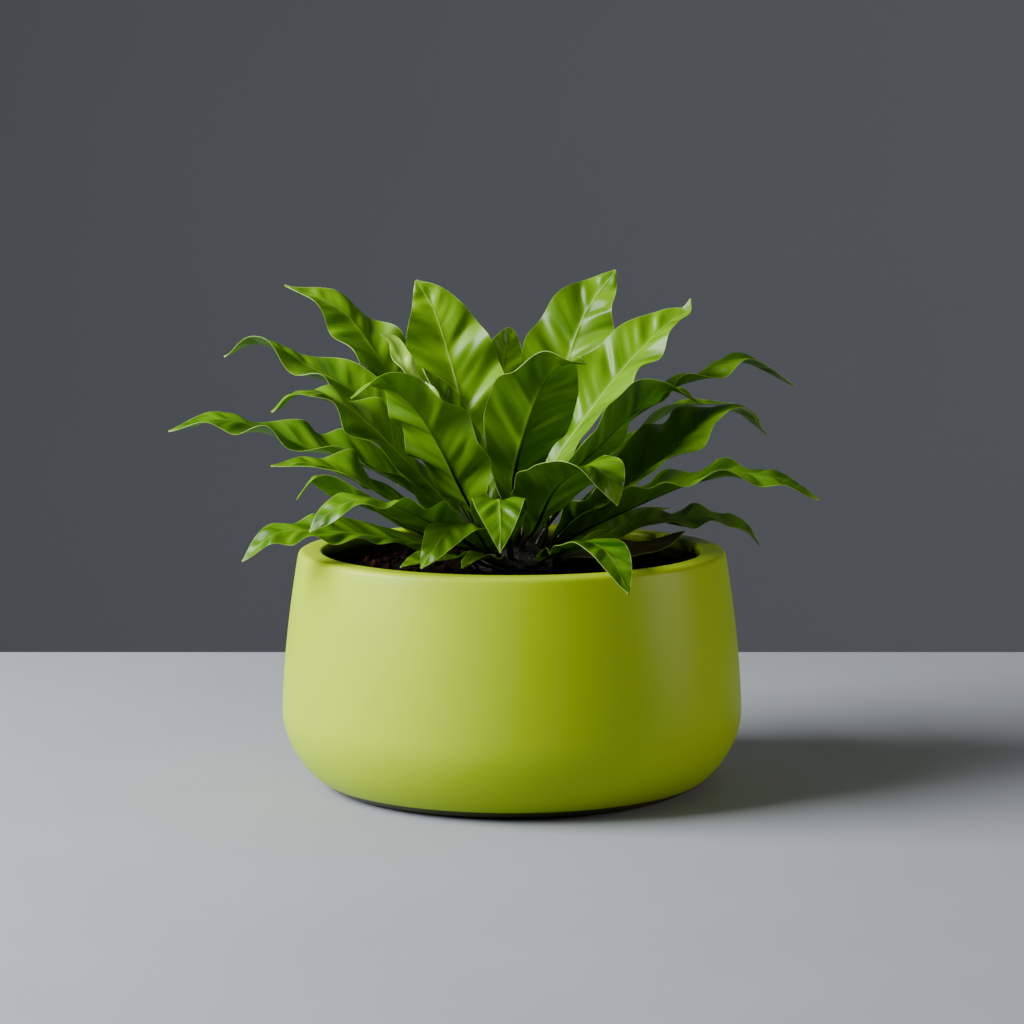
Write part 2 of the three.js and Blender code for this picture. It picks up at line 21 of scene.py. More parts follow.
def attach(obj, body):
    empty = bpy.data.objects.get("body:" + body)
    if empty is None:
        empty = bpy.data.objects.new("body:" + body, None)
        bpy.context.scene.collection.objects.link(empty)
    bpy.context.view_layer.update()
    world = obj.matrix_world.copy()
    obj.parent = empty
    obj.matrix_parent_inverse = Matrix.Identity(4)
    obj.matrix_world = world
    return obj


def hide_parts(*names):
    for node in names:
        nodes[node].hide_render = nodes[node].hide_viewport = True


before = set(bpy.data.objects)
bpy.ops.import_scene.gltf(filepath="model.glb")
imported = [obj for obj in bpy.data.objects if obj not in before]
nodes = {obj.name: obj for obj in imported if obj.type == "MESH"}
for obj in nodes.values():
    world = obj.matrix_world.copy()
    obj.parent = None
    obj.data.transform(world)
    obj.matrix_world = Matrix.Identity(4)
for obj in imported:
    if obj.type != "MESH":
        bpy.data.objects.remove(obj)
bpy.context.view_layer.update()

MM = 0.001

# %% [markdown]
# ## The camera
#
# The photograph looks down at the plant a little, from far away with a long lens, which is
# why the rim shows as a flat ellipse. The angle was found from the ellipses of the rim and
# of the foot, and the lens from how wide the planter appears. A camera could be tracked to a
# target, but turning it by the pitch alone keeps the uprights upright.

# %% Camera
CAMERA_DISTANCE = 1.9
CAMERA_PITCH = math.radians(6.76)
CAMERA_LENS = 106.2  # mm, on the usual 36 mm sensor
AIM_HEIGHT = 0.1722

bpy.ops.object.camera_add(
    location=(
        0,
        -CAMERA_DISTANCE * math.cos(CAMERA_PITCH),
        AIM_HEIGHT + CAMERA_DISTANCE * math.sin(CAMERA_PITCH),
    ),
    rotation=(math.pi / 2 - CAMERA_PITCH, 0, 0),
)
camera = bpy.context.object
camera.data.lens = CAMERA_LENS
bpy.context.scene.camera = camera
print("camera at", [round(v, 3) for v in camera.location])

# %% [markdown]
# ## Helpers for the shading
#
# Colours are written as the sRGB hex values that a colour picker shows. Shaders count in
# linear light, so one function turns them. Another adds a node with its settings and its
# links, which keeps each material below as short as a list of what it is made of.

# %% Colour and node helpers
def linear(code):
    """The linear colour of an sRGB hex value."""
    parts = [int(code[i : i + 2], 16) / 255 for i in (1, 3, 5)]
    return [p / 12.92 if p <= 0.04045 else ((p + 0.055) / 1.055) ** 2.4 for p in parts] + [1]


def add(tree, kind, sockets=None, **settings):
    """Adds a node and gives back its outputs. A socket takes a value or another output."""
    made = tree.nodes.new("ShaderNode" + kind)
    for name, value in settings.items():
        setattr(made, name, value)
    for socket, value in (sockets or {}).items():
        if isinstance(value, bpy.types.NodeSocket):
            tree.links.new(value, made.inputs[socket])
        else:
            made.inputs[socket].default_value = value
    return made.outputs


def new_material(name):
    """A material with only its output node."""
    material = bpy.data.materials.new(name)
    material.use_nodes = True
    tree = material.node_tree
    tree.nodes.clear()
    output = tree.nodes.new("ShaderNodeOutputMaterial")
    return material, tree, output.inputs["Surface"]


# A Mix node that mixes colours, its colour sockets and its result.
COLOURS = {"data_type": "RGBA"}
A, B, MIXED = 6, 7, 2
print("a mid grey is", round(linear("#808080")[0], 3), "in linear light")

# %% [markdown]
# ## The planter's glaze
#
# The planter is stoneware under a coloured satin glaze. A satin glaze has tiny crystals in
# its surface, so it gives one broad, soft highlight and no sharp reflection. The colour is
# nearly even, with faint clouds a few centimetres wide where the glaze lies thicker, and
# the surface keeps a fine orange peel from the spraying. Inside, above the mix, the wall is
# painted nearly black: some of it is peat that watering has splashed there, and most of it is
# painted shade of the fronds over it. It could be a second material on those faces; mixing
# it in by radius and height keeps one glaze, with a soft edge under the rim.

# %% Satin glaze
GLAZE_CLOUD = 45 * MM
GLAZE_PEEL = 1.6 * MM
# Inside the wall, between these heights, painted shade of the fronds and some peat splash darken
# the glaze.
STAIN_AND_SHADE_RADIUS = 123 * MM  # between the inner and the outer face of the wall
STAIN_AND_SHADE_TOP = 147 * MM
STAIN_AND_SHADE_FULL = 141 * MM


def satin_glaze():
    """Sprayed glaze on fired stoneware: even in colour, one soft, wide highlight, and painted shade
    with some peat splash inside.
    """
    material, tree, surface = new_material("satin_glaze_on_stoneware")
    place = add(tree, "TexCoord")["Object"]
    clouds = add(tree, "TexNoise", {"Vector": place, "Scale": 1 / GLAZE_CLOUD, "Detail": 2})
    colour = add(
        tree, "Mix", {0: clouds["Fac"], A: linear("#97b400"), B: linear("#a1bc00")}, **COLOURS
    )[MIXED]
    level = add(tree, "VectorMath", {0: place, 1: (1, 1, 0)}, operation="MULTIPLY")["Vector"]
    radius = add(tree, "VectorMath", {0: level}, operation="LENGTH")["Value"]
    height = add(tree, "SeparateXYZ", {0: place})["Z"]
    # Above the mix, the inner wall darkens to near black: painted shade of the fronds, with some
    # peat splash.
    inside = add(tree, "Math", {0: radius, 1: STAIN_AND_SHADE_RADIUS}, operation="LESS_THAN")[0]
    splash_and_shade = add(
        tree, "MapRange",
        {"Value": height, "From Min": STAIN_AND_SHADE_TOP, "From Max": STAIN_AND_SHADE_FULL, "To Max": 0.93},
    )["Result"]
    splash_and_shade = add(tree, "Math", {0: splash_and_shade, 1: inside}, operation="MULTIPLY")[0]
    colour = add(tree, "Mix", {0: splash_and_shade, A: colour, B: linear("#1d1606")}, **COLOURS)[MIXED]
    # The film is a little glossier where it is thick.
    rough = add(tree, "MapRange", {"Value": clouds["Fac"], "To Min": 0.42, "To Max": 0.34})
    peel = add(tree, "TexNoise", {"Vector": place, "Scale": 1 / GLAZE_PEEL, "Detail": 1})
    bump = add(tree, "Bump", {"Height": peel["Fac"], "Strength": 0.3, "Distance": 0.03 * MM})
    shader = add(
        tree, "BsdfPrincipled",
        {
            "Base Color": colour, "Roughness": rough["Result"],
            "Normal": bump["Normal"], "Specular IOR Level": 0.2,
        },
    )
    tree.links.new(shader["BSDF"], surface)
    return material


glaze = satin_glaze()
print(glaze.name, "with", len(glaze.node_tree.nodes), "nodes")

# %% [markdown]
# ## The planter
#
# The planter is a thick-walled bowl with a wide belly, low down, and walls that lean in
# towards a flat rim. It could be a spun profile, but drawing it up as a potter does is as
# short: a disc is added for the foot, and its top face is extruded up the outside, across
# the rim and down the inside, and resized at each step. The last step is the floor inside.
# The belly is a superellipse, which is rounder at the corner than a circle's arc.

# %% Planter profile
PLANTER_HEIGHT = 149
RIM_RADIUS = 134
BELLY_RADIUS = 145
BELLY_HEIGHT = 47
FOOT_RADIUS = 108
CORNER_POWER = 1.7
LEAN_POWER = 1.6
WALL = 15.5
FLOOR = 14
FLOOR_RADIUS = 98
RIM_ROUND = 3
CORNER_STEPS = 12
WALL_STEPS = 12


def side(bottom, flat_radius, inset, top):
    """Points up one side of the wall, from its flat bottom: a corner, then a leaning wall."""
    belly = BELLY_RADIUS - inset
    points = []
    for i in range(CORNER_STEPS):
        angle = i / CORNER_STEPS * math.pi / 2
        out = math.sin(angle) ** (2 / CORNER_POWER)
        down = math.cos(angle) ** (2 / CORNER_POWER)
        height = BELLY_HEIGHT - (BELLY_HEIGHT - bottom) * down
        points.append((flat_radius + (belly - flat_radius) * out, height))
    for i in range(WALL_STEPS + 1):
        height = BELLY_HEIGHT + (top - BELLY_HEIGHT) * i / WALL_STEPS
        up = (height - BELLY_HEIGHT) / (PLANTER_HEIGHT - BELLY_HEIGHT)
        points.append((belly - (BELLY_RADIUS - RIM_RADIUS) * up**LEAN_POWER, height))
    return points


outside = side(0, FOOT_RADIUS, 0, PLANTER_HEIGHT)
inside = side(FLOOR, FLOOR_RADIUS, WALL, PLANTER_HEIGHT)
print(len(outside), "points outside,", len(inside), "inside")

# %% [markdown]
# ## Drawing a round piece up from a disc
#
# The planter and the mix are both round, so one helper makes them. A spin would need a drawn
# profile and a clean-up of its poles. A disc whose one face is extruded and resized again and
# again stays closed from first to last. The helpers beside it select a piece, apply a
# modifier and shade a piece, as is done by hand from the menus.

# %% Turning helpers
def only(piece):
    """Selects one object alone and makes it active."""
    bpy.ops.object.select_all(action="DESELECT")
    piece.select_set(True)
    bpy.context.view_layer.objects.active = piece


def turned(name, profile, turns):
    """A round piece, drawn up from a disc along a profile of (radius, height) in mm."""
    bpy.ops.object.select_all(action="DESELECT")
    radius, height = profile[0]
    bpy.ops.mesh.primitive_circle_add(
        vertices=turns, radius=radius * MM, location=(0, 0, height * MM), fill_type="NGON"
    )
    piece = bpy.context.object
    piece.name = name
    bpy.ops.object.transform_apply(location=True, rotation=True, scale=True)
    bpy.ops.object.mode_set(mode="EDIT")
    for next_radius, next_height in profile[1:]:
        rise = (next_height - height) * MM
        bpy.ops.mesh.extrude_region_move(TRANSFORM_OT_translate={"value": (0, 0, rise)})
        share = next_radius / radius
        bpy.ops.transform.resize(value=(share, share, 1), center_override=(0, 0, 0))
        radius, height = next_radius, next_height
    bpy.ops.mesh.select_all(action="SELECT")
    bpy.ops.mesh.normals_make_consistent(inside=False)
    bpy.ops.object.mode_set(mode="OBJECT")
    return piece


def finish_with(piece, kind, **settings):
    """Adds a modifier to the piece and applies it."""
    only(piece)
    bpy.ops.object.modifier_add(type=kind)
    modifier = piece.modifiers[-1]
    for name, value in settings.items():
        setattr(modifier, name, value)
    bpy.ops.object.modifier_apply(modifier=modifier.name)


def smooth(piece, degrees):
    """Smooth shading, with edges that turn by more than the angle left sharp."""
    only(piece)
    bpy.ops.object.shade_smooth_by_angle(angle=math.radians(degrees))


print("the outline turns from", outside[0], "to", inside[0])

# %% Planter
PLANTER_TURNS = 160

planter = turned("glazed_planter", outside + inside[::-1], PLANTER_TURNS)
finish_with(
    planter, "BEVEL",
    width=RIM_ROUND * MM, segments=5, limit_method="ANGLE", angle_limit=math.radians(50),
)
smooth(planter, 40)
planter.data.materials.append(glaze)
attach(planter, "root")
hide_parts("planter")
print("planter", [round(v, 4) for v in planter.dimensions], len(planter.data.polygons), "faces")

# %% [markdown]
# ## The potting mix
#
# The mix is damp peat with bark. From above it is nearly black, darker than the peat itself
# as painted shade of the fronds over it, with reddish brown where it is dry, and quite without
# gloss. A displaced disc would give its top and no more, so its
# body is drawn up like the planter, round the hollow that the root ball fills. Then its top,
# which is cut finely, is raised in lumps by a noise that is the same on every run.

# %% Damp peat and bark
# The grains are 3 to 6 mm wide, as in a mix that is sold for house plants.
def damp_peat(name, wet, dry, lump):
    """Damp, crumbled fibre: its wet colour, brown where it is drier, and without gloss."""
    material, tree, surface = new_material(name)
    place = add(tree, "TexCoord")["Object"]
    grains = add(tree, "TexNoise", {"Vector": place, "Scale": 1 / lump, "Detail": 6})
    dryness = add(tree, "MapRange", {"Value": grains["Fac"], "From Min": 0.45, "From Max": 0.7})
    colour = add(tree, "Mix", {0: dryness["Result"], A: linear(wet), B: linear(dry)}, **COLOURS)
    bump = add(tree, "Bump", {"Height": grains["Fac"], "Strength": 0.8, "Distance": 1.2 * MM})
    shader = add(
        tree, "BsdfPrincipled",
        {
            "Base Color": colour[MIXED], "Roughness": 1.0, "Normal": bump["Normal"],
            "Specular IOR Level": 0.04,
        },
    )
    tree.links.new(shader["BSDF"], surface)
    return material


# The peat and the bark crumbs are darker than the real mix: painted shade of the fronds over it.
peat = damp_peat("damp_peat", "#050302", "#140c07", 4 * MM)
bark = damp_peat("composted_bark_crumb", "#080402", "#2c170b", 6 * MM)
roots = damp_peat("fibrous_root_ball", "#2a1c12", "#5a4430", 3 * MM)
print(peat.name, bark.name, roots.name)

# %% Potting mix
SOIL_LEVEL = 135
SOIL_MOUND = 3
SOIL_LUMP = 1.3
WIDE_LUMP = 19
FINE_LUMP = 5
GAP = 0.3
CROWN_OPENING = 26.3
ROOT_TOP = 126.3
ROOT_HOLLOW = [(59, ROOT_TOP), (66.3, 119), (52.3, 47), (45, 39.7)]  # radius and height
TOP_RINGS = 40
MIX_TURNS = 128

wall = side(FLOOR + GAP, FLOOR_RADIUS - GAP, WALL + GAP, SOIL_LEVEL)
edge = wall[-1][0]
top = []
for i in range(1, TOP_RINGS + 1):
    radius = edge + (CROWN_OPENING - edge) * i / TOP_RINGS
    top.append((radius, SOIL_LEVEL + SOIL_MOUND * (1 - radius / edge)))
hollow = [(CROWN_OPENING, ROOT_TOP), *ROOT_HOLLOW]
potting_mix = turned("peat_and_bark_mix", wall + top + hollow, MIX_TURNS)


def soil_height(x, y):
    """How far the lumps lift the surface at a place, in metres."""
    wide = noise.noise(Vector((x, y, 0)) / (WIDE_LUMP * MM))
    fine = noise.noise(Vector((x, y, 1)) / (FINE_LUMP * MM))
    return SOIL_LUMP * MM * (wide + 0.6 * fine)


for vertex in potting_mix.data.vertices:
    reach = math.hypot(vertex.co.x, vertex.co.y) / MM
    if vertex.co.z > SOIL_LEVEL * MM and CROWN_OPENING + 1 < reach < edge - 1:
        vertex.co.z += soil_height(vertex.co.x, vertex.co.y)
smooth(potting_mix, 60)
potting_mix.data.materials.append(peat)
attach(potting_mix, "root")
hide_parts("potting_mix")
nodes["root_ball"].data.materials.clear()
nodes["root_ball"].data.materials.append(roots)
print("mix", len(potting_mix.data.polygons), "faces")

# %% [markdown]
# ## Loose crumbs of bark
#
# Pieces of bark a few millimetres long lie on the mix. A particle system could scatter them,
# but it leaves no mesh of its own, and the order of a seeded draw is easier to follow. A cube
# that is subdivided with a little chance gives a rough lump of 24 faces, which is enough at
# this size. Four such lumps are copied, turned and squashed, and joined into one piece.

# %% Crumbs
CRUMBS = 420
CRUMB_SHAPES = 4
CRUMB_SIZE = 2.6  # mm, of the usual crumb
chance = random.Random(4)

shapes = []
for seed in range(CRUMB_SHAPES):
    bpy.ops.object.select_all(action="DESELECT")
    bpy.ops.mesh.primitive_cube_add(size=1)
    bpy.ops.object.mode_set(mode="EDIT")
    bpy.ops.mesh.subdivide(number_cuts=1, smoothness=0.9, fractal=1.2, seed=seed)
    bpy.ops.object.mode_set(mode="OBJECT")
    shapes.append(bpy.context.object)

bpy.ops.object.select_all(action="DESELECT")
crumbs = []
for i in range(CRUMBS):
    angle = chance.uniform(0, 2 * math.pi)
    reach = math.sqrt(chance.uniform((CROWN_OPENING / edge) ** 2, 0.97**2)) * edge * MM
    x, y = reach * math.cos(angle), reach * math.sin(angle)
    size = CRUMB_SIZE * MM * chance.lognormvariate(0, 0.35)
    z = SOIL_LEVEL * MM + SOIL_MOUND * MM * (1 - reach / (edge * MM)) + soil_height(x, y)
    crumb = bpy.data.objects.new("crumb", shapes[i % len(shapes)].data.copy())
    bpy.context.collection.objects.link(crumb)
    turn = Matrix.Rotation(chance.uniform(0, math.pi), 4, Vector((chance.random(), 1, 0.5)))
    shape = Matrix.Diagonal((size, size * chance.uniform(0.5, 0.9), size * 0.6, 1))
    crumb.data.transform(Matrix.Translation((x, y, z + size * 0.1)) @ turn @ shape)
    crumb.select_set(True)
    crumbs.append(crumb)
bpy.context.view_layer.objects.active = crumbs[0]
bpy.ops.object.join()
bark_crumbs = bpy.context.object
bark_crumbs.name = "bark_crumbs"
for shape in shapes:
    bpy.data.objects.remove(shape)
bark_crumbs.data.materials.append(bark)
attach(bark_crumbs, "root")
print(CRUMBS, "crumbs,", len(bark_crumbs.data.polygons), "faces")

# %% [markdown]
# ## The crown
#
# All fronds leave one short, upright rhizome that is covered with dark brown scales. Its
# dome is a squashed sphere, cut off level. Insetting each of its faces and pushing it out a
# little turns the faces into blunt scales, and moving every point by a random part of a
# millimetre takes away the order of the sphere's rings, which no plant has.
#
# One fault is known here. The inset leaves its points in an order that changes from run to
# run, and the scatter is drawn in that order, so in spite of its seed it moves each point
# another way on every run, within the same part of a millimetre.

# %% Papery scales
CROWN_RADIUS = 26
CROWN_RISE = 15
CROWN_LEVEL = 139
CROWN_NECK = 22  # radius where the dome meets the roots
SCALE_GROOVE = 0.35
SCALE_PUSH = 0.25
SCALE_SCATTER = 0.55


def papery_scales():
    """A dry, fibrous skin: dark brown and dull."""
    material, tree, surface = new_material("papery_rhizome_scales")
    place = add(tree, "TexCoord")["Object"]
    fibres = add(tree, "TexNoise", {"Vector": place, "Scale": 1 / (1.5 * MM), "Detail": 3})
    colour = add(
        tree, "Mix", {0: fibres["Fac"], A: linear("#060403"), B: linear("#1a110a")}, **COLOURS
    )
    bump = add(tree, "Bump", {"Height": fibres["Fac"], "Strength": 0.6, "Distance": 0.4 * MM})
    shader = add(
        tree, "BsdfPrincipled",
        {"Base Color": colour[MIXED], "Roughness": 0.7, "Normal": bump["Normal"]},
    )
    tree.links.new(shader["BSDF"], surface)
    return material


scales = papery_scales()
print(scales.name)

# %% Crown
bpy.ops.object.select_all(action="DESELECT")
bpy.ops.mesh.primitive_uv_sphere_add(segments=40, ring_count=24, radius=1)
crown = bpy.context.object
crown.name = "scaly_crown"
crown.scale = (CROWN_RADIUS * MM, CROWN_RADIUS * MM, CROWN_RISE * MM)
crown.location.z = CROWN_LEVEL * MM
bpy.ops.object.transform_apply(location=True, rotation=True, scale=True)
bpy.ops.object.mode_set(mode="EDIT")
bpy.ops.mesh.select_all(action="SELECT")
bpy.ops.mesh.bisect(
    plane_co=(0, 0, CROWN_LEVEL * MM), plane_no=(0, 0, 1), clear_inner=True, use_fill=False
)
bpy.ops.mesh.select_all(action="SELECT")
bpy.ops.mesh.inset(
    thickness=SCALE_GROOVE * MM, depth=SCALE_PUSH * MM, use_individual=True, use_even_offset=False
)
bpy.ops.mesh.select_all(action="SELECT")
bpy.ops.transform.vertex_random(offset=SCALE_SCATTER * MM, uniform=1, seed=3)
bpy.ops.mesh.select_all(action="DESELECT")
bpy.ops.mesh.select_mode(type="EDGE")
bpy.ops.mesh.select_non_manifold()
bpy.ops.mesh.extrude_region_move(
    TRANSFORM_OT_translate={"value": (0, 0, (ROOT_TOP - CROWN_LEVEL) * MM)}
)
narrowing = CROWN_NECK / CROWN_RADIUS
bpy.ops.transform.resize(value=(narrowing, narrowing, 1), center_override=(0, 0, 0))
bpy.ops.mesh.edge_face_add()
bpy.ops.mesh.select_mode(type="VERT")
bpy.ops.object.mode_set(mode="OBJECT")
smooth(crown, 30)
crown.data.materials.append(scales)
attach(crown, "root")
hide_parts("crown")
print("crown", len(crown.data.polygons), "scales and faces")

# %% [markdown]
# ## What a frond's surface is made of
#
# A frond is one long blade on a stiff midrib. The upper face is glossy, with a waxy skin,
# the lower one is duller. From the midrib, fine parallel veins run outwards and forwards, and
# the blade between them is softly quilted. The midrib is pale above and nearly black below
# towards the stalk, the margin is a thin pale line that is partly painted highlight, and light
# shines through the blade, which is what makes a leaf look alive. The pattern follows the
# blade, so each frond carries three attributes: `leaf_mm` says how far a point is along the
# midrib, across from it and in from the margin, in millimetres, `leaf_part` holds its share
# of the length, the frond's tone, which is partly painted light and shade, and whether it is
# on the underside, and `leaf_rib` how pale its midrib is.

# %% The blade's pattern
VEIN_SPACING = 1.1  # finer on the plant, and drawn as coarse as it can show
QUILT_SPACING = 15
VEIN_SLANT = 0.85  # how far a vein runs forward for each millimetre out
VEIN_LENGTH = 14
QUILT_LENGTH = 40
PATCH = 28 * MM
OWN_DRAW = 40  # moves each frond to its own part of the noise


def blade_pattern(tree):
    """What the frond's attributes say at a point, and the three noises that follow from it."""
    at = add(tree, "Attribute", attribute_name="leaf_mm")["Vector"]
    part = add(tree, "Attribute", attribute_name="leaf_part")["Vector"]
    along, across, margin = add(tree, "SeparateXYZ", {0: at})
    share, tone_light_and_shade, below = add(tree, "SeparateXYZ", {0: part})
    out = add(tree, "Math", {0: across}, operation="ABSOLUTE")[0]
    forward = add(tree, "Math", {0: out, 1: VEIN_SLANT}, operation="MULTIPLY")[0]
    vein_place = add(tree, "Math", {0: along, 1: forward}, operation="SUBTRACT")[0]
    # Both noises are stretched along the veins: fine for the veins, wide for the quilting.
    place = add(tree, "CombineXYZ", {0: vein_place, 1: across, 2: tone_light_and_shade})[0]
    noises = []
    for spacing, length in ((VEIN_SPACING, VEIN_LENGTH), (QUILT_SPACING, QUILT_LENGTH)):
        scale = (1 / spacing, 1 / length, OWN_DRAW)
        stretched = add(tree, "Mapping", {"Vector": place, "Scale": scale})[0]
        noise_at = {"Vector": stretched, "Scale": 1, "Detail": 2}
        noises.append(add(tree, "TexNoise", noise_at)["Fac"])
    place = add(tree, "TexCoord")["Object"]
    patches = add(tree, "TexNoise", {"Vector": place, "Scale": 1 / PATCH, "Detail": 1})["Fac"]
    return dict(
        along=along, margin=margin, share=share, tone_light_and_shade=tone_light_and_shade, below=below, out=out,
        veins=noises[0], quilt=noises[1], patches=patches,
    )


print("veins every", VEIN_SPACING, "mm, quilting every", QUILT_SPACING, "mm")

# %% [markdown]
# ## The blade's colours
#
# Each face runs from a deep green to a bright one, in bands that are painted shade and painted
# light of the quilting, and each frond's tone adds painted shade to fronds in shade and painted
# light to lit ones. The midrib, margin and stalk are laid over the face one after the other, as
# a botanical painter would. Painting the colours on the vertices is the other way, but a midrib
# narrower than a
# face of the mesh needs a pattern that is worked out at every point.

# %% The blade's greens
# How much each pattern lightens a face, and what is taken off so that the mean stays put.
# The quilt bands are painted light and shade, and the tone is partly painted light and shade.
SHADES = (("veins", 0.25), ("quilt", 1.6), ("patches", 0.5), ("tone_light_and_shade", 0.5))
SHADE_MEAN = 0.92
# The pale line along the margin is partly thin tissue and partly painted highlight of the edge.
MARGIN_LINE_AND_HIGHLIGHT = (0.56, 0.2)  # mm in from the margin, where its pale line ends and is full
# The stalk's dark brown is partly its own colour and partly painted shade at the frond's base.
STALK_BROWN_AND_SHADE = (34, 8)  # mm along, where the brown of the stalk ends and is full
SOFT = {"interpolation_type": "SMOOTHSTEP"}


def face_colour(tree, pattern, colours):
    """One face of a blade, from its deep green to its bright one, with painted light and shade."""
    shade = -SHADE_MEAN
    for name, weight in SHADES:
        terms = {0: pattern[name], 1: weight, 2: shade}
        shade = add(tree, "Math", terms, operation="MULTIPLY_ADD")[0]
    deep, bright = map(linear, colours)
    return add(tree, "Mix", {0: shade, A: deep, B: bright}, **COLOURS)[MIXED]


def blade_colour(tree, pattern, rib, upper, under, rib_above, rib_below):
    """The colour of a blade on both its faces, with its midrib, margin and stalk."""
    paleness = add(tree, "Attribute", attribute_name="leaf_rib")["Fac"]
    pale_rib = add(tree, "Math", {0: rib, 1: paleness}, operation="MULTIPLY")[0]
    above = face_colour(tree, pattern, upper)
    above = add(tree, "Mix", {0: pale_rib, A: above, B: linear(rib_above)}, **COLOURS)[MIXED]
    # Below, the midrib is dark up to a third of the length and then fades into the blade.
    below = face_colour(tree, pattern, under)
    dark = add(
        tree, "MapRange", {"Value": pattern["share"], "From Min": 0.7, "From Max": 0.3}, **SOFT
    )["Result"]
    dark = add(tree, "Math", {0: dark, 1: rib}, operation="MULTIPLY")[0]
    below = add(tree, "Mix", {0: dark, A: below, B: linear(rib_below)}, **COLOURS)[MIXED]
    colour = add(tree, "Mix", {0: pattern["below"], A: above, B: below}, **COLOURS)[MIXED]
    # A pale line of thin tissue runs along the margin, brightened as painted highlight of the
    # edge, and the stalk is dark brown, with painted shade at the base of the frond.
    line_end, line_full = MARGIN_LINE_AND_HIGHLIGHT
    line_and_highlight = add(
        tree, "MapRange",
        {"Value": pattern["margin"], "From Min": line_end, "From Max": line_full, "To Max": 0.5},
        **SOFT,
    )["Result"]
    colour = add(tree, "Mix", {0: line_and_highlight, A: colour, B: linear("#b4cc66")}, **COLOURS)[MIXED]
    # The dark brown at the stalk is partly painted shade where the frond meets the crown.
    brown_end, brown_full = STALK_BROWN_AND_SHADE
    stalk_and_base_shade = add(
        tree, "MapRange",
        {"Value": pattern["along"], "From Min": brown_end, "From Max": brown_full}, **SOFT,
    )["Result"]
    return add(tree, "Mix", {0: stalk_and_base_shade, A: colour, B: linear("#1b1409")}, **COLOURS)[MIXED]


print("shades", SHADES)

# %% The blade's skin
RIB_HALF = (1.5, 0.35)  # mm, half the midrib's width at the stalk and at the tip
LIGHT_THROUGH = 0.35


def blade(name, upper, under, rib_above, rib_below, rough_above=0.3, rough_below=0.42):
    """A leaf's waxy skin: glossy and veined, and brighter where light comes through."""
    material, tree, surface = new_material(name)
    pattern = blade_pattern(tree)
    # The midrib narrows from the stalk to the tip, and is a soft band either side of it.
    half = add(
        tree, "MapRange", {"Value": pattern["share"], "To Min": RIB_HALF[0], "To Max": RIB_HALF[1]}
    )["Result"]
    off_rib = add(tree, "Math", {0: pattern["out"], 1: half}, operation="DIVIDE")[0]
    rib = add(
        tree, "MapRange", {"Value": off_rib, "From Min": 1.15, "From Max": 0.55}, **SOFT
    )["Result"]
    colour = blade_colour(tree, pattern, rib, upper, under, rib_above, rib_below)
    rough = add(
        tree, "MapRange",
        {"Value": pattern["below"], "To Min": rough_above, "To Max": rough_below},
    )["Result"]
    relief = add(
        tree, "Math", {0: pattern["veins"], 1: 0.25, 2: pattern["quilt"]}, operation="MULTIPLY_ADD"
    )[0]
    bump = add(tree, "Bump", {"Height": relief, "Strength": 0.5, "Distance": 0.35 * MM})
    skin = add(
        tree, "BsdfPrincipled",
        {
            "Base Color": colour, "Roughness": rough, "Normal": bump["Normal"],
            "Specular IOR Level": 0.3,
        },
    )["BSDF"]
    # The midrib is too thick to let much light through.
    thin = add(tree, "MapRange", {"Value": rib, "To Min": 0.55, "To Max": 0.05})["Result"]
    glow = add(tree, "Mix", {0: thin, A: colour, B: linear("#9ccc00")}, **COLOURS)[MIXED]
    through = add(tree, "BsdfTranslucent", {"Color": glow})["BSDF"]
    shader = add(tree, "MixShader", {0: LIGHT_THROUGH, 1: skin, 2: through})[0]
    tree.links.new(shader, surface)
    return material


print("light through a blade", LIGHT_THROUGH)

# %% [markdown]
# ## Three ages of blade
#
# A grown blade is dark green and hard. A new one that is still unrolling is pale, yellowish
# and glossier, and an old one dries to a dull brown from the tip. One material with a mask
# could hold all three, but three that are made by the same function are easier to change.

# %% The three finishes
finishes = {
    "leaf": blade(
        "waxy_fern_blade",
        upper=("#1e4f00", "#7bae10"), under=("#1e4b00", "#6fa00c"),
        rib_above="#b3d062", rib_below="#0b0d03",
    ),
    "young_leaf": blade(
        "unhardened_young_blade",
        upper=("#86c414", "#d2ee74"), under=("#7ab80e", "#bee45a"),
        rib_above="#d7e8a0", rib_below="#b8d070", rough_above=0.22, rough_below=0.3,
    ),
    "old_leaf": blade(
        "drying_old_blade",
        upper=("#1f1c09", "#3d3912"), under=("#241a0a", "#4a3818"),
        rib_above="#5a4a22", rib_below="#1a1208", rough_above=0.6, rough_below=0.7,
    ),
}
print([material.name for material in finishes.values()])

# %% [markdown]
# ## The fronds
#
# Every frond has its own path and its own waves, but all are built in one way. The midrib is
# a curve from the crown through a few points. Across it the blade widens, folds up a little
# from the midrib, rolls, and waves: `left` and `right` list each turning point of a margin
# as (percent of the length, lift in mm). A sheet that follows a curve could carry such a
# blade, and so could a lattice, but a flat sheet whose points are moved by that rule shows the
# rule plainly and needs no clean-up. The next cells write the rule down, step by step.

# %% Where fronds leave the crown
RINGS = {"low": 7, "outer": 26, "middle": 46, "inner": 62, "heart": 84}  # degrees up the dome
STALK_GAP = 0.4
STALK_LENGTH = 6
STALK_WIDTH = 4.4
TIP_WIDTH = 1.2


def crown_point(ring, azimuth, out):
    """A point off the dome of the crown, straight out from its surface, in mm."""
    up, turn = math.radians(RINGS[ring]), math.radians(azimuth)
    foot = np.array([
        CROWN_RADIUS * math.cos(up) * math.cos(turn),
        CROWN_RADIUS * math.cos(up) * math.sin(turn),
        CROWN_RISE * math.sin(up),
    ])
    outward = foot / np.array([CROWN_RADIUS, CROWN_RADIUS, CROWN_RISE]) ** 2
    outward /= np.linalg.norm(outward)
    return foot + outward * out + np.array([0, 0, CROWN_LEVEL])


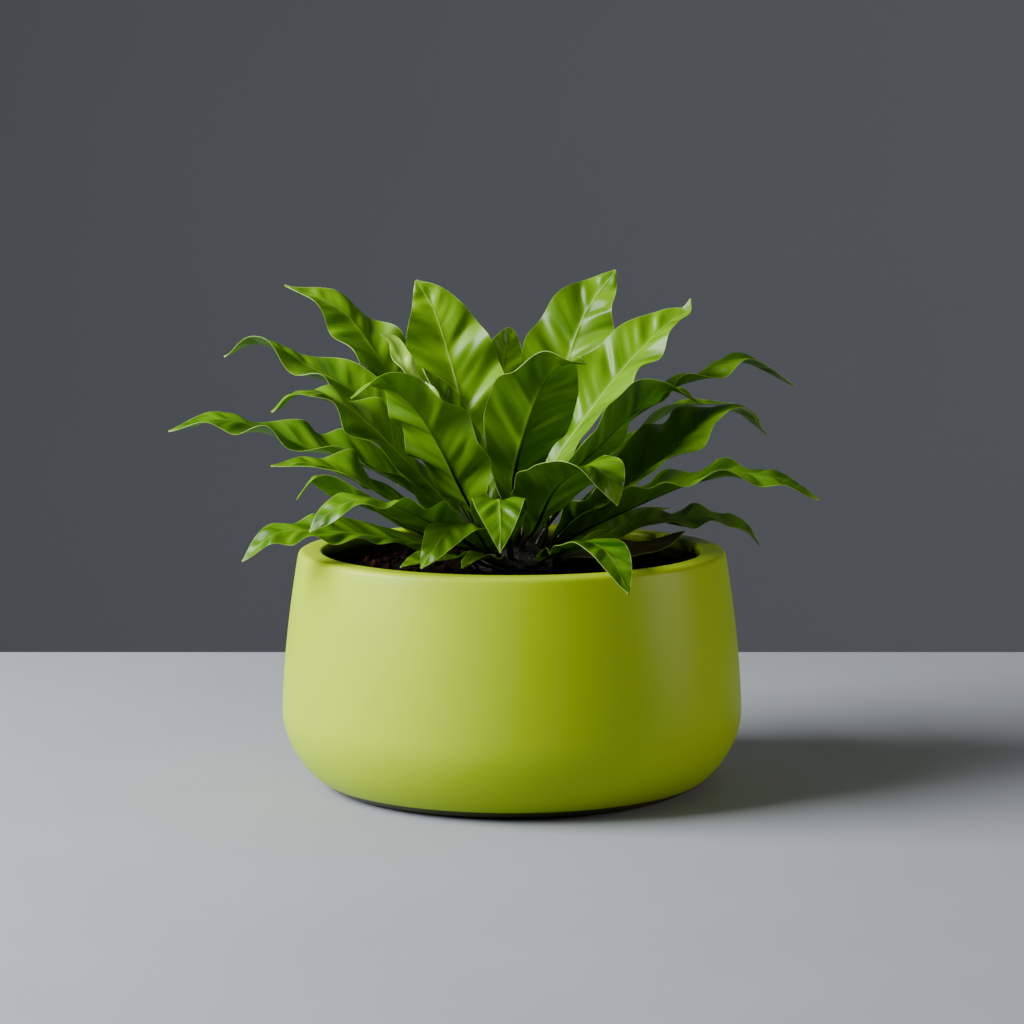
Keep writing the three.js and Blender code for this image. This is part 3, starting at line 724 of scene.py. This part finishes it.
def curve_through(points, steps):
    """A centripetal Catmull-Rom curve through the points, cut into even steps."""
    points = [2 * points[0] - points[1], *points, 2 * points[-1] - points[-2]]
    u = np.linspace(0, 1, 60)[:, None]
    pieces = []
    for p0, p1, p2, p3 in zip(points, points[1:], points[2:], points[3:]):
        d0, d1, d2 = (np.linalg.norm(b - a) ** 0.5 for a, b in ((p0, p1), (p1, p2), (p2, p3)))
        leave = ((p1 - p0) / d0 - (p2 - p0) / (d0 + d1) + (p2 - p1) / d1) * d1
        arrive = ((p2 - p1) / d1 - (p3 - p1) / (d1 + d2) + (p3 - p2) / d2) * d1
        pieces.append(
            p1 * (2 * u**3 - 3 * u**2 + 1) + leave * (u**3 - 2 * u**2 + u)
            + p2 * (3 * u**2 - 2 * u**3) + arrive * (u**3 - u**2)
        )
    fine = np.concatenate(pieces)
    walked = np.concatenate([[0], np.cumsum(np.linalg.norm(np.diff(fine, axis=0), axis=1))])
    even = np.linspace(0, walked[-1], steps + 1)
    return np.stack([np.interp(even, walked, fine[:, k]) for k in range(3)], 1), walked[-1]


print("a frond starts at", crown_point("middle", 0, STALK_GAP).round(1), "mm")

# %% The blade's shape
BLADE_THICK = 0.55
MARGIN_THICK = 0.3
RIB_THICK = (2.6, 1.0)  # at the stalk and at the tip
RIB_SPREAD = 1.1
QUILT_HEIGHT = 0.7
QUILT_WAVES = ((19, 1.0), (12.7, 0.7), (8.3, 0.4))  # length in mm and share of the height
FULL_QUILT = 10  # mm of half width from which a blade is fully quilted
WAVE_SLANT = 0.07
WAVE_REACH = 1.25  # how steeply a margin's wave fades towards the midrib


def outline(share, widest, taper):
    """The blade's half width as a share: 1 at the widest place, soft at stalk and tip."""
    grown = np.clip(share / widest, 0, 1)
    past = np.clip((share - widest) / (1 - widest), 0, 1)
    return np.where(share < widest, grown**2 * (3 - 2 * grown), (1 - past**2) ** taper)


def margin_lift(crests, share):
    """The wave of a margin: half cosines from one turning point to the next."""
    turns = [(0, 0), *crests, (100, 0)]
    places = np.array([percent / 100 for percent, _ in turns])
    lifts = np.array([lift for _, lift in turns], float)
    share = np.clip(share, 0, 1)
    i = np.clip(np.searchsorted(places, share, side="right") - 1, 0, len(turns) - 2)
    part = (share - places[i]) / (places[i + 1] - places[i])
    return lifts[i] + (lifts[i + 1] - lifts[i]) * (1 - np.cos(np.pi * part)) / 2


print("a blade's half width at its middle is", outline(np.array([0.5]), 0.58, 0.9).round(2))

# %% The midrib and which way the blade faces
def midrib_frame(shape, rows):
    """Points along the midrib in mm, what is across and up there, and its length."""
    start = crown_point(shape["ring"], shape["azimuth"], STALK_GAP)
    route = [start, crown_point(shape["ring"], shape["azimuth"], STALK_GAP + STALK_LENGTH)]
    spine, length = curve_through(route + [np.array(p, float) for p in shape["midrib"]], rows)
    ahead = np.gradient(spine, axis=0)
    ahead /= np.linalg.norm(ahead, axis=1)[:, None]
    reach = spine[-1] - start
    face = shape["face"]
    heading = math.atan2(reach[1], reach[0]) if face is None else math.radians(face)
    level = np.array([-math.sin(heading), math.cos(heading), 0])
    across = level - ahead * (ahead @ level)[:, None]
    across /= np.linalg.norm(across, axis=1)[:, None]
    up = np.cross(ahead, across)
    # The roll is given in degrees at the stalk, the middle and the tip.
    first, middle, last = shape["roll"]
    t = np.linspace(0, 1, rows + 1)
    roll = first + (4 * middle - 3 * first - last) * t + (2 * first - 4 * middle + 2 * last) * t**2
    cos, sin = np.cos(np.radians(roll))[:, None], np.sin(np.radians(roll))[:, None]
    return spine, across * cos + up * sin, up * cos - across * sin, length


def quilting(shape, side_share, vein_place):
    """The soft folds between the veins, each side of a frond with its own."""
    phase = shape["azimuth"] + np.sign(side_share)
    return sum(
        part * np.sin(2 * np.pi * vein_place / wave_length + phase * wave_length)
        for wave_length, part in QUILT_WAVES
    )


print(len(QUILT_WAVES), "waves of quilting")

# %% The whole blade
def blade_sheet(shape, share, side_share, rows):
    """Places in mm, thickness and pattern of a blade at shares of its length and width."""
    spine, across, up, length = midrib_frame(shape, rows)
    row = np.rint(share * rows).astype(int)
    out = np.abs(side_share)
    half = shape["width"] / 2 * outline(share, shape["widest"], shape["taper"])
    half = np.maximum(half, (STALK_WIDTH * (1 - share) + TIP_WIDTH * share) / 2)
    width = half * out
    wave_place = share + WAVE_SLANT * (1 - out)
    wave = np.where(
        side_share > 0,
        margin_lift(shape["left"], wave_place),
        margin_lift(shape["right"], wave_place),
    )
    along = share * length
    quilt = quilting(shape, side_share, along - VEIN_SLANT * width)
    quilt *= np.sin(np.pi * out) * np.clip(half / FULL_QUILT, 0, 1)
    lift = wave * out**WAVE_REACH + QUILT_HEIGHT * quilt
    fold = math.radians(shape["fold"])
    aside = np.sign(side_share) * width
    places = (
        spine[row]
        + across[row] * (aside * math.cos(fold))[:, None]
        + up[row] * (width * math.sin(fold) + lift)[:, None]
    )
    rib = RIB_THICK[0] + (RIB_THICK[1] - RIB_THICK[0]) * share
    web = BLADE_THICK + (MARGIN_THICK - BLADE_THICK) * out**3
    thick = web + (rib - web) * np.exp(-((width / RIB_SPREAD) ** 2))
    return places, thick, np.stack([along, aside, half - width], 1), up[row]


print("a blade is", MARGIN_THICK, "to", RIB_THICK[0], "mm thick")

# %% [markdown]
# ## From a flat sheet to a frond
#
# A grid is added once, and its points know only their share of the length and of the width.
# Each frond is a copy of it that the rule lays out. A real blade is half a millimetre thick
# and its midrib two or three, which a Solidify modifier gives it: a vertex group says how
# much of the thickness each point gets. Pushing the faces out by hand would leave the margin
# open, and Solidify closes it.

# %% The flat sheet that every frond starts as
ROWS = 110
COLUMNS = 32
COLUMN_CROWDING = 1.5

bpy.ops.object.select_all(action="DESELECT")
bpy.ops.mesh.primitive_grid_add(x_subdivisions=ROWS, y_subdivisions=COLUMNS, size=2)
sheet = bpy.context.object
sheet_places = np.empty(len(sheet.data.vertices) * 3)
sheet.data.vertices.foreach_get("co", sheet_places)
sheet_places = sheet_places.reshape(-1, 3)
length_share = (sheet_places[:, 0] + 1) / 2
# Columns crowd towards the midrib, whose ridge is only a few millimetres wide.
side_share = np.sign(sheet_places[:, 1]) * np.abs(sheet_places[:, 1]) ** COLUMN_CROWDING
print("sheet", len(sheet.data.vertices), "points")

# %% Growing one frond
STALK_THICK = RIB_THICK[0]


def grow(shape):
    """Copies the sheet, lays it out as one frond and gives it its thickness and pattern."""
    places, thick, pattern, up = blade_sheet(shape, length_share, side_share, ROWS)
    piece = bpy.data.objects.new(shape["name"] + "_frond", sheet.data.copy())
    bpy.context.collection.objects.link(piece)
    mesh = piece.data
    mesh.vertices.foreach_set("co", (places * MM).ravel())
    group = piece.vertex_groups.new(name="thickness")
    for i, part in enumerate(thick / STALK_THICK):
        group.add([i], float(part), "REPLACE")
    finish_with(
        piece, "SOLIDIFY", thickness=STALK_THICK * MM, offset=0, vertex_group="thickness"
    )
    piece.vertex_groups.clear()
    smooth(piece, 50)
    count = len(places)
    solid = np.empty(len(mesh.vertices) * 3)
    mesh.vertices.foreach_get("co", solid)
    solid = solid.reshape(-1, 3) / MM
    source = np.arange(len(solid)) % count
    under = ((solid - places[source]) * up[source]).sum(1) < 0
    marks = np.stack([length_share[source], np.full(len(solid), shape["tone_light_and_shade"]), under], 1)
    for name, values in (("leaf_mm", pattern[source]), ("leaf_part", marks)):
        attribute = mesh.attributes.new(name, "FLOAT_VECTOR", "POINT")
        attribute.data.foreach_set("vector", values.astype(np.float32).ravel())
    attribute = mesh.attributes.new("leaf_rib", "FLOAT", "POINT")
    attribute.data.foreach_set("value", [shape["rib"]] * len(solid))
    mesh.materials.clear()
    mesh.materials.append(finishes[shape["slot"]])
    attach(piece, "root")
    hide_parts("frond_" + shape["name"])
    return piece


def frond(
    name, ring, azimuth, width, midrib, left, right,
    face=None, widest=0.58, taper=0.9, fold=12, roll=(0, 0, 0), slot="leaf",
    tone_light_and_shade=0.5, rib=0.25,
):
    """One frond's shape, with the values that most fronds share."""
    return dict(
        name=name, ring=ring, azimuth=azimuth, width=width, midrib=midrib, left=left,
        right=right, face=face, widest=widest, taper=taper, fold=fold, roll=roll, slot=slot,
        tone_light_and_shade=tone_light_and_shade, rib=rib,
    )


print("ready to grow")

# %% [markdown]
# ## The fronds' own shapes
#
# On the real plant no two fronds are alike, so each has a row: where it leaves the crown, how
# wide it is, a few points that its midrib passes, and the turning points of both margins.
# Random fronds would be quicker to write, but they would be a different plant. The rows at
# the end fill the back of the rosette, and share their waves.

# %% Fronds on the left
# Left and right in the names are the viewer's, from the front. The points are in mm.
# A frond's tone is partly its own green and partly painted light and shade: it is set lower for
# fronds that lie in shade and higher for lit ones.
FRONDS = [
    frond("left_high", "middle", azimuth=150, width=44, widest=0.62, taper=1.3,
          roll=(-10, -25, -30), tone_light_and_shade=0.55,
          midrib=[(-36, 30, 190), (-76, 60, 249), (-110, 74, 294), (-148, 84, 311)],
          left=[(28, -3), (42, 5), (55, -4), (67, 8), (79, -8), (89, 3)],
          right=[(30, -3), (44, 5), (57, -5), (68, 4), (77, -12), (88, 1)]),
    frond("left_arching", "middle", azimuth=172, width=38, roll=(-15, -14, -12),
          midrib=[(-45, 3, 198), (-90, 15, 239), (-131, 28, 263), (-163, 38, 276), (-184, 44, 267)],
          left=[(24, 4), (36, -4), (48, 5), (58, -5), (65, 4), (74, -6), (86, 6)],
          right=[(30, 4), (42, -4), (52, 5), (62, 6), (79, -5), (90, -2)]),
    frond("left_ribbed", "middle", azimuth=196, width=46, roll=(-30, -25, -10), rib=0.9,
          midrib=[(-37, -15, 175), (-67, -26, 208), (-103, -36, 242), (-127, -42, 251),
                  (-147, -46, 239)],
          left=[(30, -3), (46, -5), (56, -3), (68, -12), (79, 0), (85, -1), (93, 4)],
          right=[(26, 4), (40, -4), (54, 2), (62, 7), (70, -7), (77, -1), (84, -8)]),
    frond("left_long", "outer", azimuth=182, width=52, widest=0.5, roll=(-14, -10, -16), tone_light_and_shade=0.3,
          midrib=[(-45, -8, 173), (-85, -14, 200), (-132, -20, 216), (-176, -22, 232),
                  (-213, -20, 225)],
          left=[(22, -4), (32, 5), (41, 1), (51, 8), (64, -3), (72, 5), (80, -7), (90, 2)],
          right=[(26, 6), (38, 4), (49, 7), (56, -1), (62, 5), (77, -7), (90, 0)]),
    frond("left_low", "outer", azimuth=199, width=40, widest=0.58, roll=(-6, -29, -10),
          midrib=[(-37, -27, 164), (-65, -43, 180), (-94, -59, 198), (-120, -66, 209),
                  (-146, -67, 208)],
          left=[(30, 2), (46, 5), (60, 3), (72, 4), (84, 1)],
          right=[(30, -4), (46, -4), (60, -8), (70, 7), (81, -4), (93, -1)]),
    frond("left_hooked", "outer", azimuth=217, width=26, widest=0.7, roll=(0, 8, 25),
          midrib=[(-41, -39, 157), (-71, -58, 174), (-97, -76, 190), (-118, -84, 202),
                  (-129, -88, 190)],
          left=[(32, 5), (48, 3), (60, -1), (84, -2)],
          right=[(40, -2), (60, 1), (76, -3), (86, -3)]),
    frond("left_broad", "outer", azimuth=234, width=38, roll=(4, 0, -15), tone_light_and_shade=0.35,
          midrib=[(-35, -50, 163), (-66, -89, 185), (-90, -115, 193), (-107, -122, 186),
                  (-119, -125, 175)],
          left=[(30, 6), (37, 5), (46, 8), (57, -2), (67, 2), (75, -6), (83, 1), (92, -2)],
          right=[(28, -6), (44, -8), (57, -7), (72, -4), (84, -1)]),
    frond("left_rim", "low", azimuth=206, width=40, widest=0.5, roll=(-15, -20, -22), tone_light_and_shade=0.3,
          midrib=[(-35, -22, 149), (-78, -46, 161), (-111, -62, 167), (-143, -72, 167),
                  (-163, -77, 151)],
          left=[(30, -2), (42, 3), (50, 0), (57, 3), (65, -3), (73, 2), (80, -5), (90, 1)],
          right=[(30, -2), (44, -3), (58, -2), (68, 0), (76, -6), (86, -1)]),
]
print(len(FRONDS), "fronds so far")

# %% Upright fronds, and the one that leans over in front of them
FRONDS += [
    frond("front_leaning", "middle", azimuth=232, width=56, widest=0.46, taper=1, roll=(24, 20, 10),
          tone_light_and_shade=1.05, rib=0.1,
          midrib=[(-31, -36, 190), (-43, -54, 217), (-61, -70, 246), (-80, -82, 260),
                  (-96, -90, 251)],
          left=[(20, -4), (30, -8), (40, -2), (50, -6), (61, 3), (70, -4), (80, 2)],
          right=[(18, 6), (28, 0), (38, 7), (48, -3), (58, 4), (68, -4), (78, 4), (88, -2)]),
    frond("tall_left", "inner", azimuth=126, width=62, face=100, widest=0.6, taper=0.92,
          roll=(0, -5, -10), tone_light_and_shade=1.05, rib=0.9,
          midrib=[(-18, 22, 184), (-31, 42, 232), (-42, 54, 271), (-51, 60, 297), (-62, 64, 315)],
          left=[(20, 3), (28, -3), (36, 4), (44, -4), (52, 4), (60, -4), (68, 4), (76, -4),
                (84, 4), (93, -2)],
          right=[(24, 3), (32, -3), (40, 4), (48, -4), (56, 4), (64, -4), (72, 5), (80, -4),
                 (87, 1), (94, 4)]),
    frond("tall_middle", "inner", azimuth=92, width=42, taper=0.6, roll=(10, 15, 20),
          midrib=[(-4, 50, 188), (-5, 82, 228), (-6, 100, 260), (-1, 108, 282)],
          left=[(30, 2), (45, -2), (60, 2), (75, -2)],
          right=[(35, -2), (50, 2), (65, -2), (80, 2)]),
    frond("tall_right", "inner", azimuth=60, width=60, face=74, widest=0.62, taper=0.9,
          tone_light_and_shade=0.65, rib=0.8,
          midrib=[(13, 28, 189), (31, 54, 248), (47, 68, 293), (67, 74, 321)],
          left=[(20, 3), (28, -3), (36, 4), (44, -4), (52, 4), (60, -4), (68, 4), (76, -4),
                (84, 4), (93, -3)],
          right=[(24, 3), (32, -3), (40, 4), (48, -4), (56, 4), (64, -5), (72, 1), (80, -5),
                 (88, 4), (95, -2)]),
    frond("front_upright", "inner", azimuth=285, width=55, face=276, widest=0.6, taper=0.85,
          tone_light_and_shade=0.65, rib=0.1,
          midrib=[(1, -20, 192), (8, -32, 226), (18, -44, 254), (30, -56, 269), (45, -64, 270)],
          left=[(20, 3), (32, -4), (44, 5), (55, -4), (66, -3), (75, -6), (86, 3)],
          right=[(22, -3), (32, 4), (42, -2), (51, 5), (59, 1), (67, 3), (78, -7), (90, 1)]),
]
print(len(FRONDS), "fronds so far")

# %% Fronds on the right
FRONDS += [
    frond("right_glossy", "inner", azimuth=26, width=56, widest=0.52, taper=0.95, fold=20,
          roll=(15, 22, 22), tone_light_and_shade=0.85, rib=0.6,
          midrib=[(21, 6, 192), (49, 19, 233), (78, 32, 268), (101, 41, 289), (112, 44, 296),
                  (114, 45, 304)],
          left=[(22, 4), (31, -5), (40, 5), (49, -5), (58, 5), (68, -1), (78, 3), (90, 0)],
          right=[(26, -4), (38, 4), (48, 6), (58, -2), (66, 4), (76, -6), (85, 2)]),
    frond("right_high", "middle", azimuth=32, width=42,
          midrib=[(40, 20, 184), (78, 34, 230), (111, 44, 251), (143, 52, 264), (183, 60, 247)],
          left=[(22, 5), (34, -4), (46, 4), (56, -5), (65, -2), (74, -12), (84, 3)],
          right=[(20, 4), (32, -3), (44, 4), (54, -3), (62, 5), (74, -10), (84, 0)]),
    frond("right_folded", "middle", azimuth=346, width=42, widest=0.5, roll=(-24, -36, -8),
          tone_light_and_shade=0.1,
          midrib=[(26, -23, 187), (54, -31, 217), (76, -29, 238), (96, -22, 251), (117, -14, 242)],
          left=[(24, 1), (36, -3), (48, 2), (58, -2), (70, 4), (84, -4), (93, 3)],
          right=[(28, -5), (42, -10), (54, -8), (65, 1), (76, 5), (86, -4)]),
    frond("right_under", "middle", azimuth=56, width=34, roll=(-20, -20, 0),
          midrib=[(37, 42, 177), (73, 68, 208), (110, 84, 231), (145, 94, 233)],
          left=[(30, -4), (50, 4), (70, -4), (86, 2)],
          right=[(30, 4), (50, -4), (70, 4), (86, -2)]),
    frond("right_dark", "outer", azimuth=14, width=56, widest=0.55, taper=0.9, roll=(8, 12, 10),
          tone_light_and_shade=1,
          midrib=[(34, 12, 164), (81, 26, 193), (111, 34, 218), (139, 40, 233), (164, 44, 217)],
          left=[(30, -1), (44, 3), (58, 5), (64, -3), (70, 2), (80, -7), (93, 3)],
          right=[(20, -7), (29, -5), (42, 3), (52, 4), (65, -7), (75, 1), (84, 3)]),
    frond("right_long", "outer", azimuth=342, width=50, widest=0.44, roll=(-22, 0, 20), tone_light_and_shade=0.3,
          midrib=[(32, -19, 156), (73, -30, 178), (116, -37, 196), (155, -42, 200),
                  (188, -46, 185)],
          left=[(22, -3), (35, 8), (42, 5), (48, 8), (59, -2), (68, 3), (76, -6), (90, -2)],
          right=[(20, 5), (30, 2), (40, 6), (46, 1), (50, 2), (57, -4), (68, 4), (80, -6),
                 (90, 1)]),
    frond("right_low", "low", azimuth=26, width=34, roll=(10, 10, 10),
          midrib=[(40, 22, 146), (82, 38, 160), (119, 48, 163), (144, 53, 160), (161, 56, 144)],
          left=[(24, 2), (36, -5), (52, 0), (62, -6), (70, 2), (78, -3), (92, 2)],
          right=[(28, -4), (42, 0), (54, 0), (64, -6), (72, -1), (82, -5)]),
    frond("right_back", "low", azimuth=52, width=20, roll=(10, 10, 10),
          midrib=[(41, 46, 145), (72, 74, 154), (92, 90, 162), (104, 97, 163)],
          left=[(30, 2), (50, -2), (70, 2)],
          right=[(30, -2), (50, 2), (70, -2)]),
]
print(len(FRONDS), "fronds so far")

# %% Fronds that fold over the front
FRONDS += [
    frond("drooping", "low", azimuth=312, width=34, widest=0.58, tone_light_and_shade=0,
          midrib=[(17, -36, 145), (33, -66, 157), (47, -98, 165), (58, -124, 160), (68, -144, 141)],
          left=[(30, 3), (50, -2)],
          right=[(20, 2), (32, 1), (38, -5), (46, -3), (56, -4), (70, 0)]),
    frond("front_folded", "outer", azimuth=268, width=35, widest=0.5, taper=1.05, fold=5,
          tone_light_and_shade=0.25, rib=0.4,
          midrib=[(-2, -38, 161), (-7, -58, 180), (-8, -72, 188), (-7, -90, 176), (-7, -98, 159)],
          left=[(34, 4), (52, -3), (66, 0)],
          right=[(34, -4), (50, -5), (64, 0)]),
    frond("front_left", "outer", azimuth=251, width=32, widest=0.6, taper=0.9, fold=5,
          midrib=[(-14, -41, 153), (-23, -64, 169), (-34, -83, 174), (-43, -98, 166),
                  (-54, -107, 151)],
          left=[(35, 2), (60, -3)],
          right=[(35, -2), (52, -5), (75, 1)]),
    frond("front_right", "middle", azimuth=290, width=52, widest=0.52, taper=0.9, tone_light_and_shade=0.3,
          midrib=[(14, -34, 165), (25, -56, 191), (39, -76, 206), (53, -92, 208), (63, -100, 188)],
          left=[(20, 3), (34, -3), (50, -5), (64, 4), (77, 1), (90, 0)],
          right=[(26, 4), (37, 6), (43, 3), (49, 6), (58, 2), (70, 1), (84, -1)]),
    frond("front_low", "low", azimuth=238, width=24,
          midrib=[(-21, -32, 145), (-37, -52, 151), (-53, -72, 151), (-67, -86, 149)],
          left=[(40, 2), (60, -2)],
          right=[(40, -2), (60, 2)]),
    frond("front_small", "low", azimuth=264, width=20, widest=0.6,
          midrib=[(-6, -38, 143), (-13, -56, 150), (-22, -74, 152), (-30, -88, 149)],
          left=[(40, 2), (60, -2), (78, 2)],
          right=[(40, -2), (60, 2), (78, -1)]),
    frond("right_tucked", "outer", azimuth=326, width=24, widest=0.55, roll=(-20, -20, -10),
          midrib=[(27, -16, 159), (43, -25, 175), (58, -33, 188), (68, -38, 195)],
          left=[(30, 3), (48, -3), (64, 3), (80, -2)],
          right=[(36, -3), (54, 3), (70, -3), (85, 2)]),
]
print(len(FRONDS), "fronds so far")

# %% The youngest, the oldest and a half grown one
FRONDS += [
    frond("young", "heart", azimuth=150, width=13, face=118, widest=0.78, taper=0.8, fold=22,
          slot="young_leaf",
          midrib=[(-26, 2, 196), (-45, 10, 232), (-63, 17, 255), (-71, 21, 268), (-75, 22, 278),
                  (-83, 21, 283)],
          left=[(40, 1), (52, -2), (62, 3), (72, -3), (80, 3), (90, -3)],
          right=[(45, 1), (57, -3), (67, 3), (76, -3), (86, 3)]),
    frond("inner_small", "inner", azimuth=160, width=25, roll=(-10, -10, -10),
          midrib=[(-22, 15, 192), (-33, 27, 224), (-45, 37, 244), (-57, 40, 260)],
          left=[(40, 2), (60, -1), (80, 2)],
          right=[(50, 1), (66, -3), (82, 2)]),
    frond("old", "low", azimuth=358, width=16, roll=(10, 30, 50), slot="old_leaf",
          midrib=[(34, 4, 143), (62, 10, 146), (91, 18, 148), (110, 23, 157)],
          left=[(50, 2), (70, -2)],
          right=[(50, -2), (70, 2)]),
]
print(len(FRONDS), "fronds so far")

# %% Fronds at the back
WIDE_WAVES = dict(
    left=[(30, 4), (42, -4), (54, 5), (66, -5), (78, 4)],
    right=[(24, -4), (36, 4), (48, -5), (60, 5), (72, -4), (84, 3)],
)
LONG_WAVES = dict(
    left=[(30, 4), (44, -4), (58, 4), (72, -4)],
    right=[(24, -4), (38, 4), (52, -4), (66, 4), (80, -3)],
)
LOW_WAVES = dict(
    left=[(30, 3), (44, -3), (58, 3), (72, -3)],
    right=[(24, -3), (38, 3), (52, -3), (66, 3), (80, -3)],
)

FRONDS += [
    frond("back_right", "middle", azimuth=76, width=46,
          midrib=[(15, 60, 182), (25, 98, 210), (25, 134, 224), (31, 164, 219)], **WIDE_WAVES),
    frond("back_left", "middle", azimuth=106, width=46,
          midrib=[(-17, 60, 182), (-29, 96, 206), (-32, 132, 216), (-41, 164, 208)], **WIDE_WAVES),
    frond("back_far_right", "outer", azimuth=62, width=42,
          midrib=[(25, 58, 170), (45, 98, 186), (62, 126, 195), (77, 150, 187)], **LONG_WAVES),
    frond("back_far_left", "outer", azimuth=124, width=40,
          midrib=[(-23, 58, 170), (-46, 98, 181), (-64, 128, 183), (-77, 152, 172)], **LONG_WAVES),
    frond("back_drooping", "outer", azimuth=88, width=38,
          midrib=[(3, 72, 158), (6, 112, 171), (10, 144, 165), (13, 166, 146)], **LONG_WAVES),
    frond("back_low_left", "outer", azimuth=142, width=32,
          midrib=[(-30, 46, 159), (-53, 77, 164), (-68, 99, 163), (-79, 117, 156)], **LOW_WAVES),
    frond("back_low", "low", azimuth=112, width=32,
          midrib=[(-21, 58, 152), (-33, 94, 158), (-43, 124, 158), (-50, 144, 147)], **LOW_WAVES),
]
print(len(FRONDS), "fronds")

# %% [markdown]
# ## Growing the plant
#
# With the rule and the rows ready, the rosette grows in one loop. The sheet that the fronds
# were copied from is then removed, because it isn't part of the plant.

# %% Growing them all
fronds = [grow(shape) for shape in FRONDS]
bpy.data.objects.remove(sheet)
print(sum(len(piece.data.polygons) for piece in fronds), "faces in", len(fronds), "fronds")

# %% [markdown]
# ## Floor and backdrop
#
# The planter stands on a plain pale table top that ends half a metre behind it, in front of
# a plain dark wall. A bent sheet of paper would hide the edge between them, but the edge is
# part of the picture, so the table is a plane and the wall a wide, open drum round it.

# %% Floor and backdrop
def matt_paint(name, low, high, grain):
    """Rolled emulsion paint: even and matt, with clouds that hardly show."""
    material, tree, surface = new_material(name)
    place = add(tree, "TexCoord")["Object"]
    cloud = add(tree, "TexNoise", {"Vector": place, "Scale": 1 / grain, "Detail": 4})
    colour = add(tree, "Mix", {0: cloud["Fac"], A: linear(low), B: linear(high)}, **COLOURS)
    shader = add(tree, "BsdfPrincipled", {"Base Color": colour[MIXED], "Roughness": 0.9})
    tree.links.new(shader["BSDF"], surface)
    return material


TABLE_BACK = 0.5
TABLE_SPAN = 6

bpy.ops.object.select_all(action="DESELECT")
bpy.ops.mesh.primitive_plane_add(size=TABLE_SPAN, location=(0, TABLE_BACK - TABLE_SPAN / 2, 0))
table_top = bpy.context.object
table_top.name = "table_top"
table_top.data.materials.append(matt_paint("pale_grey_paint", "#868c91", "#8e9499", 0.12))
bpy.ops.object.select_all(action="DESELECT")
bpy.ops.mesh.primitive_cylinder_add(
    vertices=96, radius=5, depth=8, location=(0, 0, 1), end_fill_type="NOTHING"
)
backdrop = bpy.context.object
backdrop.name = "backdrop"
bpy.ops.object.shade_smooth()
backdrop.data.materials.append(matt_paint("dark_grey_wall_paint", "#82868c", "#858990", 0.5))
print("table top and backdrop staged")

# %% [markdown]
# ## Light
#
# A large soft lamp stands high on the left, a little in front, as a window would. It gives the
# planter its broad highlight and the blades their white streaks. A weaker one on the right
# keeps the shadows open, a faint one above and behind draws the upper edges, and the room
# gives back a little light. A picture of a room could light it all, but lamps are plainer.

# %% Light
def soft_lamp(name, place, size, watts, colour="#ffffff", aim=(0, 0, 0.16)):
    """A lamp behind a diffuser of a size in metres, turned to the middle of the plant."""
    bpy.ops.object.light_add(type="AREA", location=place)
    lamp = bpy.context.object
    lamp.name = name
    lamp.rotation_euler = (Vector(aim) - Vector(place)).to_track_quat("-Z", "Y").to_euler()
    lamp.data.shape = "RECTANGLE"
    lamp.data.size, lamp.data.size_y = size
    lamp.data.energy = watts
    lamp.data.color = linear(colour)[:3]
    lamp.visible_camera = False
    return lamp


soft_lamp("window", (-1.8, -0.48, 1.2), (1.6, 1.2), 178)
soft_lamp("card", (1.8, -0.2, 0.5), (0.8, 0.9), 14, "#e8dccb")
soft_lamp("top", (0.2, 0.6, 1.9), (1.4, 1.0), 2)
world = bpy.data.worlds.new("studio")
bpy.context.scene.world = world
world.use_nodes = True
world.node_tree.nodes["Background"].inputs["Color"].default_value = linear("#8a8f96")
world.node_tree.nodes["Background"].inputs["Strength"].default_value = 0.22
print("three lamps")
